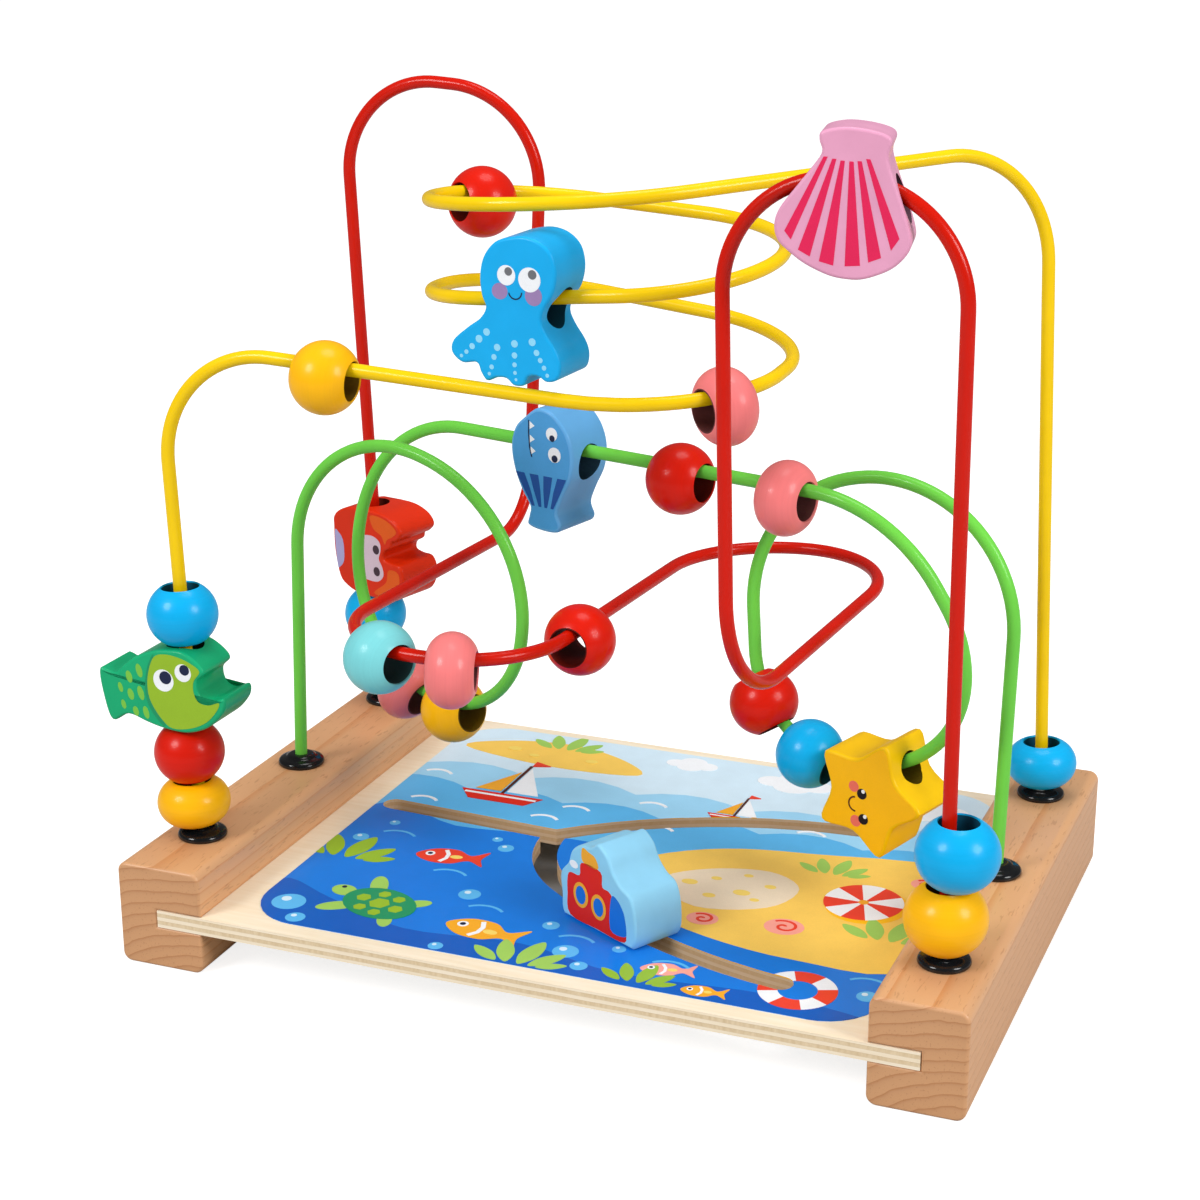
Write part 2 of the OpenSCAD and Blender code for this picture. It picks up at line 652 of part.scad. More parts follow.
// Boat: a cloud-shaped block on a peg, held from below by a disc and a screw
module at_boat(z) {
  a = front_from + boat_at;
  p = polar(front_centre, front_r, a);
  translate([p.x, p.y, z]) rotate(a + 90) children();
}
peg_foot = panel_lift - boat_lift;
boat_outline = [
  [-18, 0], [-19.5, 8], [-20, 15], [-16, 20], [-14, 25], [-9.5, 28.5], [-4, 29.5], [0, 32], [5, 29], [8, 24],
  [12, 20.5], [17, 18], [19.5, 10], [18, 0], [6, -2], [-6, -2]
];
module boat() {
  top = 40;
  color("#8fd0ea") at_boat(panel_top + boat_lift) difference() {
    intersection() {
      board_shape(boat_outline, boat_t);
      translate([-top, -boat_t, 0]) cube([2 * top, 2 * boat_t, top]);
    }
    translate([0, 0, -cut]) cylinder(d = peg_d + 2 * bore_gap, h = peg_seat + bore_gap + cut);
  }
}
module boat_peg() {
  color("#dcb98a") at_boat(peg_foot) difference() {
    cylinder(d = peg_d, h = panel_top + boat_lift + peg_seat - peg_foot);
    translate([0, 0, -cut]) cylinder(d = screw_d + 2 * bore_gap, h = screw_l + bore_gap + cut);
  }
}
module boat_disc() {
  color("#dcb98a") at_boat(peg_foot - disc_t) difference() {
    cylinder(d = disc_d, h = disc_t);
    translate([0, 0, -cut]) cylinder(d = screw_d + 2 * bore_gap, h = disc_t + 2 * cut);
  }
}
module boat_screw() {
  color("#b9bcc0") at_boat(peg_foot - disc_t) {
    translate([0, 0, -screw_head_h]) cylinder(d = screw_head_d, h = screw_head_h);
    cylinder(d = screw_d, h = disc_t + screw_l);
  }
}

rail_left();
rail_right();
panel();
collar_left_front();
collar_left_middle();
collar_left_back();
collar_right_front();
collar_right_middle();
collar_right_back();
wire_yellow();
wire_red();
wire_green();
bead_yellow_left();
bead_red_left();
fish();
bead_blue_left();
bead_yellow_front();
bead_pink_coil();
octopus();
bead_red_coil();
bead_blue_back();
bead_red_rear();
bead_blue_rear();
crab();
bead_cyan_turn();
bead_pink_turn();
bead_red_run();
shell();
bead_yellow_right();
bead_blue_right();
bead_yellow_loop();
bead_pink_loop();
shark();
bead_red_middle();
bead_pink_middle();
star();
bead_blue_loop();
bead_red_loop();
boat();
boat_peg();
boat_disc();
boat_screw();
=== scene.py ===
"""Looks of the bead maze: lacquered beads and printed shapes on coated wires, over a beech and plywood base.

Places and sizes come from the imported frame. Outlines, prints and wire routes are in millimetres.
"""
import json
from math import acos, atan2, ceil, cos, pi, radians, sin, tan

import bmesh
import bpy
from mathutils import Matrix, Quaternion, Vector


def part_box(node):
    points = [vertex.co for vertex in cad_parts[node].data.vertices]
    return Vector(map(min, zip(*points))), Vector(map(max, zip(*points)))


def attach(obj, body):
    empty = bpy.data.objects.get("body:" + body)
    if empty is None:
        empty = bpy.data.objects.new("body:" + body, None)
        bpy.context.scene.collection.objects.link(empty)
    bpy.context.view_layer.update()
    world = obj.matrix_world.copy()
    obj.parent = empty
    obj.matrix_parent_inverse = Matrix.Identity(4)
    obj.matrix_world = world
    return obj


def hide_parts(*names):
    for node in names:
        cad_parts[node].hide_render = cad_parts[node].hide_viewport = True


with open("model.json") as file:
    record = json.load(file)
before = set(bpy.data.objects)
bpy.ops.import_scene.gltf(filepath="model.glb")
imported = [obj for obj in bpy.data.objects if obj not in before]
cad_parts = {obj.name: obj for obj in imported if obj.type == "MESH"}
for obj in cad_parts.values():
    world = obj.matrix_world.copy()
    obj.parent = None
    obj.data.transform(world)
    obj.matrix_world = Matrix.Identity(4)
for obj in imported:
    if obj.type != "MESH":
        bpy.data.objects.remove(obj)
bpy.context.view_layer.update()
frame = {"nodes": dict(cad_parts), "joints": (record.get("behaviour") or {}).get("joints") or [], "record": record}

MM = 0.001

# Camera
CAMERA_TARGET = Vector((1.4, 0, 120)) * MM
CAMERA_AZIMUTH = 21.1
CAMERA_ELEVATION = 18.43
CAMERA_ROLL = 0.15
CAMERA_DISTANCE = 834 * MM
CAMERA_LENS = 71.56
CAMERA_SHIFT = (-0.0288, -0.0019)


def make_camera():
    azimuth, elevation = radians(CAMERA_AZIMUTH), radians(CAMERA_ELEVATION)
    back = Vector((sin(azimuth) * cos(elevation), -cos(azimuth) * cos(elevation), sin(elevation)))
    data = bpy.data.cameras.new("camera")
    data.lens = CAMERA_LENS
    data.shift_x, data.shift_y = CAMERA_SHIFT
    camera = bpy.data.objects.new("camera", data)
    camera.location = CAMERA_TARGET + back * CAMERA_DISTANCE
    level = back.to_track_quat("Z", "Y")
    camera.rotation_euler = (level @ Quaternion((0, 0, 1), radians(CAMERA_ROLL))).to_euler()
    bpy.context.scene.collection.objects.link(camera)
    bpy.context.scene.camera = camera


make_camera()


# Materials. Noise scales count features in a metre.
NOISE_LOW, NOISE_HIGH = 0.3, 0.7
LATHE_HEIGHT = "lathe_height"
LATHE_SCALE, LATHE_SHARE = 1100, 0.4
CLOUD_SCALE, PEEL_SCALE, PEEL_DEPTH, PEEL_SHARE = 70, 1500, 0.2 * MM, 0.3
SCREEN_CLOUD_SCALE, SCREEN_SCALE, SCREEN_DEPTH = 120, 2500, 0.1 * MM
LACQUER_SPECULAR = 0.17
ROUGH_SPREAD = 0.05


def linear(text, strength=1.0):
    """Linear colour of a #rrggbb text, made lighter or darker by a factor."""
    parts = [int(text[i : i + 2], 16) / 255 for i in (1, 3, 5)]
    parts = [p / 12.92 if p <= 0.04045 else ((p + 0.055) / 1.055) ** 2.4 for p in parts]
    return tuple(min(1.0, p * strength) for p in parts) + (1.0,)


class Graph:
    """Nodes of a material or of the background."""

    def __init__(self, tree):
        self.tree = tree

    def add(self, kind, inputs=None, **settings):
        made = self.tree.nodes.new("ShaderNode" + kind)
        for key, value in settings.items():
            setattr(made, key, value)
        self.fill(made, inputs or {})
        return made

    def fill(self, made, inputs):
        for key, value in inputs.items():
            if isinstance(value, bpy.types.NodeSocket):
                self.tree.links.new(value, made.inputs[key])
            else:
                made.inputs[key].default_value = value

    def place(self):
        return self.add("TexCoord").outputs["Object"]

    def stretched(self, scale):
        return self.add("Mapping", {"Vector": self.place(), "Scale": scale}).outputs[0]

    def noise(self, where, scale, detail=3.0):
        return self.add("TexNoise", {"Vector": where, "Scale": scale, "Detail": detail}).outputs[0]

    def math(self, operation, first, second=0.0):
        return self.add("Math", {0: first, 1: second}, operation=operation).outputs[0]

    def times(self, first, second):
        return self.math("MULTIPLY", first, second)

    def split(self, vector):
        return self.add("SeparateXYZ", {0: vector}).outputs

    def facing(self):
        return self.split(self.add("NewGeometry").outputs["Normal"])

    def ramp(self, value, *stops):
        made = self.add("ValToRGB", {0: value})
        elements = made.color_ramp.elements
        while len(elements) < len(stops):
            elements.new(0.5)
        for element, (position, colour) in zip(elements, stops):
            element.position = position
            element.color = colour
        return made.outputs[0]

    def tones(self, value, dark, light):
        """Colour that goes from dark to light over the usual range of a noise."""
        return self.ramp(value, (NOISE_LOW, dark), (NOISE_HIGH, light))

    def mix(self, amount, first, second):
        made = self.add("Mix", data_type="RGBA")
        self.fill(made, {0: amount, 6: first, 7: second})
        return made.outputs[2]

    def span(self, value, low, high):
        return self.add("MapRange", {0: value, 3: low, 4: high}).outputs[0]

    def bump(self, height, strength, distance):
        return self.add("Bump", {"Height": height, "Strength": strength, "Distance": distance}).outputs[0]


class Look(Graph):
    """A node material under construction."""

    def __init__(self, name):
        self.material = bpy.data.materials.new(name)
        self.material.use_nodes = True
        super().__init__(self.material.node_tree)

    def finish(self, **inputs):
        shader = self.tree.nodes["Principled BSDF"]
        self.fill(shader, {key.replace("_", " "): value for key, value in inputs.items()})
        return self.material


def paint(name, colour, rough=0.3, spread=0.05, coat=0.12, peel=0.05, turned=False):
    """Lacquer sprayed on wood: a little cloudy, with a fine orange peel, and lathe lines on turned wood."""
    look = Look(name)
    cloud = look.noise(look.place(), CLOUD_SCALE)
    fine = look.noise(look.place(), PEEL_SCALE, 2)
    if turned:
        along = look.add("Attribute", attribute_name=LATHE_HEIGHT).outputs["Fac"]
        ripple = {"W": along, "Scale": LATHE_SCALE, "Detail": 3}
        lines = look.add("TexNoise", ripple, noise_dimensions="1D").outputs[0]
        fine = look.math("ADD", lines, look.times(fine, PEEL_SHARE))
        cloud = look.math("ADD", look.times(cloud, 1 - LATHE_SHARE), look.times(lines, LATHE_SHARE))
    return look.finish(
        Base_Color=look.tones(cloud, linear(colour, 1 - spread), linear(colour, 1 + spread)),
        Roughness=look.span(cloud, rough - ROUGH_SPREAD, rough + ROUGH_SPREAD),
        Normal=look.bump(fine, peel, PEEL_DEPTH),
        Specular_IOR_Level=LACQUER_SPECULAR,
        Coat_Weight=coat,
        Coat_Roughness=0.1,
    )


def ink(name, colour, spread=0.05):
    """Screen print: a thin satin layer with a faint grain of its screen."""
    look = Look(name)
    cloud = look.noise(look.place(), SCREEN_CLOUD_SCALE)
    grain = look.noise(look.place(), SCREEN_SCALE, 1)
    mottled = look.times(look.math("ADD", grain, cloud), 0.5)
    return look.finish(
        Base_Color=look.tones(mottled, linear(colour, 1 - spread), linear(colour, 1 + spread)),
        Roughness=look.span(grain, 0.3, 0.4),
        Normal=look.bump(grain, 0.04, SCREEN_DEPTH),
        Specular_IOR_Level=LACQUER_SPECULAR,
        Coat_Weight=0.08,
        Coat_Roughness=0.2,
    )


BEECH_LIGHT, BEECH_DARK, BEECH_PORE = "#dfab7c", "#c68a59", "#a36a3f"
RING_PITCH = 4.2 * MM
RING_WANDER, RING_WANDER_SCALE = 6 * MM, 45
RING_SHARPNESS = 5.0
GRAIN_STRETCH = (1, 0.08, 1)
PORE_STRETCH = (1, 0.12, 1)
PORE_SCALE, PORE_LEVEL, PORE_STRENGTH, PORE_DEPTH = 1300, 0.64, 0.35, 0.3 * MM
TONE_SCALE, TONE_STRENGTH = 20, 0.35
END_GRAIN_STRENGTH = 0.35


def beech(name, pith):
    """Beech under clear lacquer: rings round a pith that lies along Y, and short dark pores."""
    look = Look(name)
    along = look.stretched(GRAIN_STRETCH)
    wander = look.times(look.noise(along, RING_WANDER_SCALE), RING_WANDER)
    parts = look.split(look.place())
    across = look.math("SUBTRACT", parts["X"], pith[0])
    above = look.math("SUBTRACT", parts["Z"], pith[1])
    flat = look.add("CombineXYZ", {"X": across, "Z": above}).outputs[0]
    distance = look.add("VectorMath", {0: flat}, operation="LENGTH").outputs["Value"]
    turns = look.times(look.math("ADD", distance, wander), 1 / RING_PITCH)
    ring = look.math("FRACT", turns)
    early, late, edge = linear(BEECH_LIGHT), linear(BEECH_LIGHT, 0.94), linear(BEECH_DARK, 1.15)
    wood = look.ramp(ring, (0.0, early), (0.8, late), (0.97, edge))
    pores = look.noise(look.stretched(PORE_STRETCH), PORE_SCALE, 2)
    speck = look.span(look.math("GREATER_THAN", pores, PORE_LEVEL), 0.0, PORE_STRENGTH)
    tone = look.noise(along, TONE_SCALE)
    toned = look.mix(look.span(tone, 0.0, TONE_STRENGTH), wood, linear(BEECH_DARK, 1.1))
    end_grain = look.times(look.math("ABSOLUTE", look.facing()["Y"]), END_GRAIN_STRENGTH)
    soaked = look.mix(end_grain, toned, linear(BEECH_DARK, 0.8))
    ring_line = look.times(look.math("POWER", ring, RING_SHARPNESS), end_grain)
    lined = look.mix(ring_line, soaked, linear(BEECH_PORE, 0.7))
    return look.finish(
        Base_Color=look.mix(speck, lined, linear(BEECH_PORE)),
        Roughness=look.span(tone, 0.36, 0.5),
        Normal=look.bump(pores, 0.12, PORE_DEPTH),
        Coat_Weight=0.2,
        Coat_Roughness=0.25,
    )


PLY_COUNT = 5
PLY_WANDER, PLY_WANDER_SCALE = 0.3 * MM, 60
PLY_LONG_SCALE, PLY_END_SCALE, PLY_GRAIN_DEPTH = 420, 900, 0.2 * MM
GLUE_FROM, GLUE_STRENGTH, WALL_TAN_STRENGTH = 0.9, 0.2, 0.55
PLY_FACE, PLY_CROSS = ("#f1dfc0", "#f8ead2"), ("#d8bf97", "#e6d0ac")
PLY_GLUE, PLY_WALL_TAN = "#9c7449", "#b98a58"
ROUTED_HALF = (130 * MM, 90 * MM)


def plywood(name, low, high):
    """Plywood: pale plies of crossing grain, thin glue lines, and the routed walls of the track painted a darker
    tan.
    """
    look = Look(name)
    parts = look.split(look.place())
    wander = look.times(look.noise(look.stretched((1, 1, 0)), PLY_WANDER_SCALE), PLY_WANDER)
    level = look.math("SUBTRACT", look.math("SUBTRACT", parts["Z"], wander), low - PLY_WANDER)
    ply = look.times(level, PLY_COUNT / (high - low + 2 * PLY_WANDER))
    odd = look.math("GREATER_THAN", look.math("FRACT", look.times(ply, 0.5)), 0.5)
    long_grain = look.noise(look.stretched((0.08, 1, 1)), PLY_LONG_SCALE, 4)
    end_grain = look.noise(look.stretched((1, 1, 0.3)), PLY_END_SCALE, 3)
    face = look.tones(long_grain, *map(linear, PLY_FACE))
    cross = look.tones(end_grain, *map(linear, PLY_CROSS))
    layered = look.mix(odd, face, cross)
    # The track's routed walls are painted a darker tan.
    wall = look.math("LESS_THAN", look.math("ABSOLUTE", look.facing()["Z"]), 0.5)
    in_width = look.math("LESS_THAN", look.math("ABSOLUTE", parts["X"]), ROUTED_HALF[0])
    in_depth = look.math("LESS_THAN", look.math("ABSOLUTE", parts["Y"]), ROUTED_HALF[1])
    routed = look.times(wall, look.times(in_width, in_depth))
    tan_walls = look.mix(look.times(routed, WALL_TAN_STRENGTH), layered, linear(PLY_WALL_TAN))
    glue = look.math("GREATER_THAN", look.math("FRACT", ply), GLUE_FROM)
    return look.finish(
        Base_Color=look.mix(look.times(glue, GLUE_STRENGTH), tan_walls, linear(PLY_GLUE)),
        Roughness=look.span(long_grain, 0.4, 0.55),
        Normal=look.bump(long_grain, 0.08, PLY_GRAIN_DEPTH),
        Coat_Weight=0.15,
        Coat_Roughness=0.3,
    )


STEEL_DARK, STEEL_LIGHT = "#a9acb0", "#c9ccd0"
BRUSH_STRETCH, BRUSH_SCALE = (1, 12, 1), 300


def steel(name):
    """Brushed zinc plate."""
    look = Look(name)
    brushed = look.noise(look.stretched(BRUSH_STRETCH), BRUSH_SCALE)
    return look.finish(
        Base_Color=look.ramp(brushed, (0.2, linear(STEEL_DARK)), (0.8, linear(STEEL_LIGHT))),
        Roughness=look.span(brushed, 0.25, 0.4),
        Metallic=1.0,
    )


BEAD_COLOURS = {
    "yellow": "#fab706", "red": "#d61802", "blue": "#05aae6", "pink": "#ee7c7c", "cyan": "#78cdd2",
}
WIRE_COLOURS = {"wire_yellow": "#f3ca04", "wire_red": "#cb1500", "wire_green": "#6ecd48"}
SHAPE_COLOURS = {
    "fish": "#14a870", "octopus": "#12abec", "crab": "#d82c06", "shell": "#e09dbc", "shark": "#62a9e0",
    "star": "#f0be02", "boat": "#8dcdec",
}
INKS = {
    "lime": "#93b82b", "scale": "#79bf45", "leaf": "#1c9160", "white": "#eef1f5", "navy": "#1a2444",
    "grey": "#6d6f74", "mauve": "#9a7fb0", "black": "#1d1618", "brown": "#55200f", "dot": "#8fd6f5",
    "lavender": "#a9a3cf", "lilac": "#d3bccb", "plum": "#44303c", "orange": "#e05a12",
    "shark_face": "#4c9cd8", "stripe": "#214f9c", "rib": "#df2456", "amber": "#fbbd0a", "blush": "#e8705e",
    "boat_red": "#dc2206", "boat_blue": "#1b6fd0", "boat_yellow": "#f0a828", "pale": "#cfe6f4",
    "sky": "#9bd3f2", "sea": "#1178da", "deep": "#0d5cbb", "sand": "#f5ca5c", "cream": "#ead9bd",
    "coral": "#e8412a", "coral_dot": "#f7a394", "grass": "#9dc95c", "sand_dot": "#f3d468",
    "shoal": "#59b4ea",
}
# Painted shade: paint inside a bore is the outer paint darkened by this factor.
SHADE_IN_BORE = 0.4
paints = {k: paint("lacquer_" + k, v, peel=0.14, turned=True) for k, v in BEAD_COLOURS.items()}
paints.update({k: paint("lacquer_" + k, v, rough=0.36, coat=0.06) for k, v in SHAPE_COLOURS.items()})
inks = {k: ink("print_" + k, v) for k, v in INKS.items()}


def shaded_bore_paint(name, colour):
    """Unpolished paint inside a bore, darkened as painted shade."""
    dark = "#" + "".join(f"{int(int(colour[i : i + 2], 16) * SHADE_IN_BORE):02x}" for i in (1, 3, 5))
    return paint("bore_" + name, dark, rough=0.6, spread=0.15, coat=0.0, peel=0.3)


# Bore materials, each colour darkened as painted shade.
shaded_bores = {k: shaded_bore_paint(k, v) for k, v in {**BEAD_COLOURS, **SHAPE_COLOURS}.items()}


# Mesh building
def vectors(points):
    return [Vector(p) for p in points]


def new_piece(name, made, materials, node=None, sharp=35, body=None):
    """Piece from a bmesh, smooth up to an angle. It rides on its node's body and stands for the node."""
    bmesh.ops.recalc_face_normals(made, faces=made.faces)
    mesh = bpy.data.meshes.new(name)
    made.to_mesh(mesh)
    made.free()
    piece = bpy.data.objects.new(name, mesh)
    bpy.context.scene.collection.objects.link(piece)
    for m in materials:
        mesh.materials.append(m)
    smooth_shade(mesh, sharp)
    if node:
        stand_for(piece, node)
    elif body:
        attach(piece, body)
    return piece


def smooth_shade(mesh, sharp):
    mesh.shade_smooth()
    mesh.set_sharp_from_angle(angle=radians(sharp))


NODE_BODY = {n: b for b, nodes in frame["record"]["behaviour"]["bodies"].items() for n in nodes}


def stand_for(piece, node):
    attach(piece, NODE_BODY[node])
    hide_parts(node)


def bridge(made, rings, closed, material=0):
    """Quads between rings of vertices, each ring closed on itself."""
    pairs = list(zip(rings, rings[1:])) + ([(rings[-1], rings[0])] if closed else [])
    for first, second in pairs:
        for k in range(len(first)):
            n = (k + 1) % len(first)
            made.faces.new((first[k], first[n], second[n], second[k])).material_index = material


def lathe(profile, placed, segments=64, dark_from=None):
    """Closed profile of (radius, height) turned round local Z. Bands from dark_from on are the bore and take the
    second material, the bore's painted shade.
    """
    made = bmesh.new()
    along = made.verts.layers.float.new(LATHE_HEIGHT)
    turn = [2 * pi * k / segments for k in range(segments)]
    rings = []
    for radius, height in profile:
        circle = [Vector((radius * cos(a), radius * sin(a), height)) for a in turn]
        rings.append([made.verts.new(placed @ p) for p in circle])
        for v in rings[-1]:
            v[along] = height
    bridge(made, rings, closed=True)
    if dark_from is not None:
        for face in list(made.faces)[dark_from * segments :]:
            face.material_index = 1
    return made


def axes(origin, x, z):
    """Placing matrix with local X and Z axes at an origin."""
    y = z.cross(x)
    rows = [(x[k], y[k], z[k], origin[k]) for k in range(3)]
    return Matrix((*rows, (0, 0, 0, 1)))


def square_to(vector, direction):
    return (vector - direction * vector.dot(direction)).normalized()


def upright(direction):
    return square_to(Vector((0, 0, 1)), direction)


def node_points(node):
    return [v.co for v in frame["nodes"][node].data.vertices]


def refinish(node, material):
    """New material on a CAD node that stays."""
    slots = frame["nodes"][node].data.materials
    slots.clear()
    slots.append(material)


def centre_of(node):
    low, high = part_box(node)
    return (low + high) / 2


# Wires
RAIL_X = centre_of("rail_right").x / MM
COLLAR_Y = centre_of("collar_right_back").y / MM
COLLAR_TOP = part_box("collar_right_back")[1].z / MM
WIRE_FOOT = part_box("wire_yellow")[0].z / MM
WIRE_RADIUS = 2.3 * MM
FOOT_RADIUS = 60
BEND_STEP = 4
WIRE_SIDES = 24

# Runs and bends that carry shapes, counted from a wire's start
LEG_RUN, COIL_RUN, MIDDLE_RUN, ARCH_RUN, LOOP_BEND = 1, 7, 6, 10, 8


class Route:
    """Wire route through corners (x, y, height above the collars, bend radius), straight between bends."""

    def __init__(self, start, corners, end):
        rows = [(*start, WIRE_FOOT - COLLAR_TOP, 0), (*start, 0, FOOT_RADIUS), *corners]
        rows += [(*end, 0, FOOT_RADIUS), (*end, WIRE_FOOT - COLLAR_TOP, 0)]
        self.corners = [Vector((x, y, z + COLLAR_TOP)) * MM for x, y, z, _ in rows]
        self.radii = [row[3] * MM for row in rows]

    def ahead(self, i):
        return (self.corners[i + 1] - self.corners[i]).normalized()

    def angle(self, i):
        return acos(max(-1.0, min(1.0, self.ahead(i - 1).dot(self.ahead(i)))))

    def centre(self, i):
        inward = (self.ahead(i) - self.ahead(i - 1)).normalized()
        return self.corners[i] + inward * self.radii[i] / cos(self.angle(i) / 2)

    def outward(self, i):
        start = self.corners[i] - self.ahead(i - 1) * self.radii[i] * tan(self.angle(i) / 2)
        return (start - self.centre(i)).normalized()

    def bend(self, i, angle):
        """Place and direction in a bend."""
        out, ahead = self.outward(i), self.ahead(i - 1)
        place = self.centre(i) + (out * cos(angle) + ahead * sin(angle)) * self.radii[i]
        return place, ahead * cos(angle) - out * sin(angle)

    def sections(self):
        last = len(self.corners) - 1
        found = [(self.corners[0], self.ahead(0))]
        for i in range(1, last):
            steps = max(2, ceil(self.angle(i) / radians(BEND_STEP)))
            found += [self.bend(i, self.angle(i) * k / steps) for k in range(steps + 1)]
        return found + [(self.corners[last], self.ahead(last - 1))]


ROUTES = {
    "wire_yellow": Route((-RAIL_X, -COLLAR_Y), [
        (-RAIL_X - 7, -COLLAR_Y + 1, 172.5, 37), (10, -63, 163, 140), (58, -58, 165.5, 43),
        (60, 30, 170.5, 43), (-65, 30, 184.5, 42), (-61, -56, 189.5, 42), (64, -54, 200.5, 41),
        (49, 29, 207.5, 41), (-66, 30, 214.5, 41), (-62, -56, 220, 42), (11, -52, 224.5, 75),
        (RAIL_X - 10, COLLAR_Y, 233.5, 40),
    ], (RAIL_X, COLLAR_Y)),
    "wire_red": Route((-RAIL_X, COLLAR_Y), [
        (-RAIL_X - 10, COLLAR_Y - 1, 246.5, 35), (-63, COLLAR_Y, 241.5, 36), (-72, 76, 77.5, 22),
        (-81, -83, 79.5, 36), (-7, -84, 78.5, 36), (2, 79, 76.5, 38), (81, 79, 79.5, 38),
        (63, -79, 70.5, 35), (56, -COLLAR_Y, 240.5, 34), (RAIL_X - 2, -COLLAR_Y - 2, 238.5, 36),
    ], (RAIL_X, -COLLAR_Y)),
    "wire_green": Route((-RAIL_X, 0), [
        (-RAIL_X + 5, -2, 139.5, 45), (-29, -19, 112.5, 53), (-40, -12, 27.5, 41), (-148, 28, 34.5, 51),
        (-100, 24, 128.5, 47), (RAIL_X - 35, -26, 129.5, 51), (RAIL_X + 21, -19, 34.5, 48),
        (RAIL_X - 89, 10, 25.5, 37), (RAIL_X - 98, 20, 116.5, 47), (RAIL_X + 2, 4, 140.5, 48),
    ], (RAIL_X, 0)),
}


def make_wire(node, route):
    made = bmesh.new()
    turn = [2 * pi * k / WIRE_SIDES for k in range(WIRE_SIDES)]
    rings = []
    side = Vector((1, 0, 0))
    for place, ahead in route.sections():
        side = square_to(side, ahead)
        other = ahead.cross(side)
        circle = [place + (side * cos(a) + other * sin(a)) * WIRE_RADIUS for a in turn]
        rings.append([made.verts.new(p) for p in circle])
    bridge(made, rings, closed=False)
    made.faces.new(rings[0])
    made.faces.new(rings[-1])
    coat = paint("coating_" + node, WIRE_COLOURS[node], rough=0.25, spread=0.03, coat=0.14, peel=0.03)
    new_piece(node + "_coated", made, [coat], node)


for node, route in ROUTES.items():
    make_wire(node, route)


# Collars
COLLAR_SIDES = 48
COLLAR_BLACK = "#131416"
COLLAR_PROFILE = [
    (2.45, 4), (3.2, 4), (4.3, 3.9), (5, 3.6), (5.4, 3.1), (5.9, 2.75), (7, 2.55), (8, 2.2), (8.5, 1.6),
    (8.7, 0.9), (8.6, 0.3), (8.3, 0), (4.5, 0), (4.5, -8), (2.45, -8),
]
collar_black = paint("collar_plastic", COLLAR_BLACK, rough=0.2, spread=0.2, coat=0.5, peel=0.08)
for node in [n for n in frame["nodes"] if n.startswith("collar_")]:
    seat = Vector((*centre_of(node).xy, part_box("rail_left")[1].z))
    profile = [(r * MM, z * MM) for r, z in COLLAR_PROFILE]
    made = lathe(profile, Matrix.Translation(seat), COLLAR_SIDES)
    new_piece(node + "_moulded", made, [collar_black], node, sharp=50)


# Beads
BEAD_ARC_STEPS = 20
MOUTH = 0.7 * MM


def travel_axis(node):
    """Direction of a piece's bore: along its slide, or square to the arm of its hinge."""
    joint = next(j for j in frame["joints"] if j["child"] == node)
    axis = Vector(joint["axis"])
    if joint["type"] == "slide":
        return axis.normalized()
    return axis.cross(centre_of(node) - Vector(joint["pos_m"])).normalized()


def bead_profile(outer, length, bore):
    """Round bulge that meets the bore in an eased mouth, then the bore's wall."""
    middle = (outer**2 - bore**2 - length**2 / 4) / (2 * (outer - bore))
    radius = outer - middle
    reach = atan2(length / 2 - MOUTH / 4, bore + MOUTH - middle)
    arc = [reach * (2 * k / BEAD_ARC_STEPS - 1) for k in range(BEAD_ARC_STEPS + 1)]
    bulge = [(middle + radius * cos(a), radius * sin(a)) for a in arc]
    lip, lip_height = bore + MOUTH * 0.35, length / 2 - MOUTH * 0.25
    inside = length / 2 - MOUTH
    wall = [(bore, inside * k / 3) for k in (2, 1, 0, -1, -2)]
    return bulge + [(lip, lip_height), (bore, inside)] + wall + [(bore, -inside), (lip, -lip_height)]


def make_bead(node):
    centre, axis = centre_of(node), travel_axis(node)
    offsets = [p - centre for p in node_points(node)]
    heights = [abs(d.dot(axis)) for d in offsets]
    reaches = [(d - axis * d.dot(axis)).length for d in offsets]
    profile = bead_profile(max(reaches), 2 * max(heights), min(reaches))
    placed = axes(centre, axis.orthogonal().normalized(), axis)
    colour = node.split("_")[1]
    # The bore's bands take the second material, the bore's painted shade.
    made = lathe(profile, placed, dark_from=BEAD_ARC_STEPS + 2)
    new_piece(node + "_turned", made, [paints[colour], shaded_bores[colour]], node, sharp=60)


for node in [n for n in frame["nodes"] if n.startswith("bead_")]:
    make_bead(node)


# Shapes cut from board, with printed faces
OUTLINE_STEPS = 5
EDGE_ROUND = 1.1
EDGE_STEPS = 4
CUTTER_LENGTH = 120
CUTTER_SIDES = 64


def smooth(points, steps=OUTLINE_STEPS):
    """Closed curve through points."""
    points = vectors(points)
    count, curve = len(points), []
    for i in range(count):
        a, b, c, d = (points[(i + k) % count] for k in (-1, 0, 1, 2))
        for k in range(steps):
            t = k / steps
            cubic = 2 * b + (c - a) * t + (2 * a - 5 * b + 4 * c - d) * t**2 + (3 * b - a - 3 * c + d) * t**3
            curve.append(cubic / 2)
    return curve


def disc(x, y, rx, ry=None, turn=0.0, points=28):
    """Round or oval outline."""
    ry = ry or rx
    c, s = cos(radians(turn)), sin(radians(turn))
    ring = [(rx * cos(2 * pi * k / points), ry * sin(2 * pi * k / points)) for k in range(points)]
    return [Vector((x + u * c - v * s, y + u * s + v * c)) for u, v in ring]


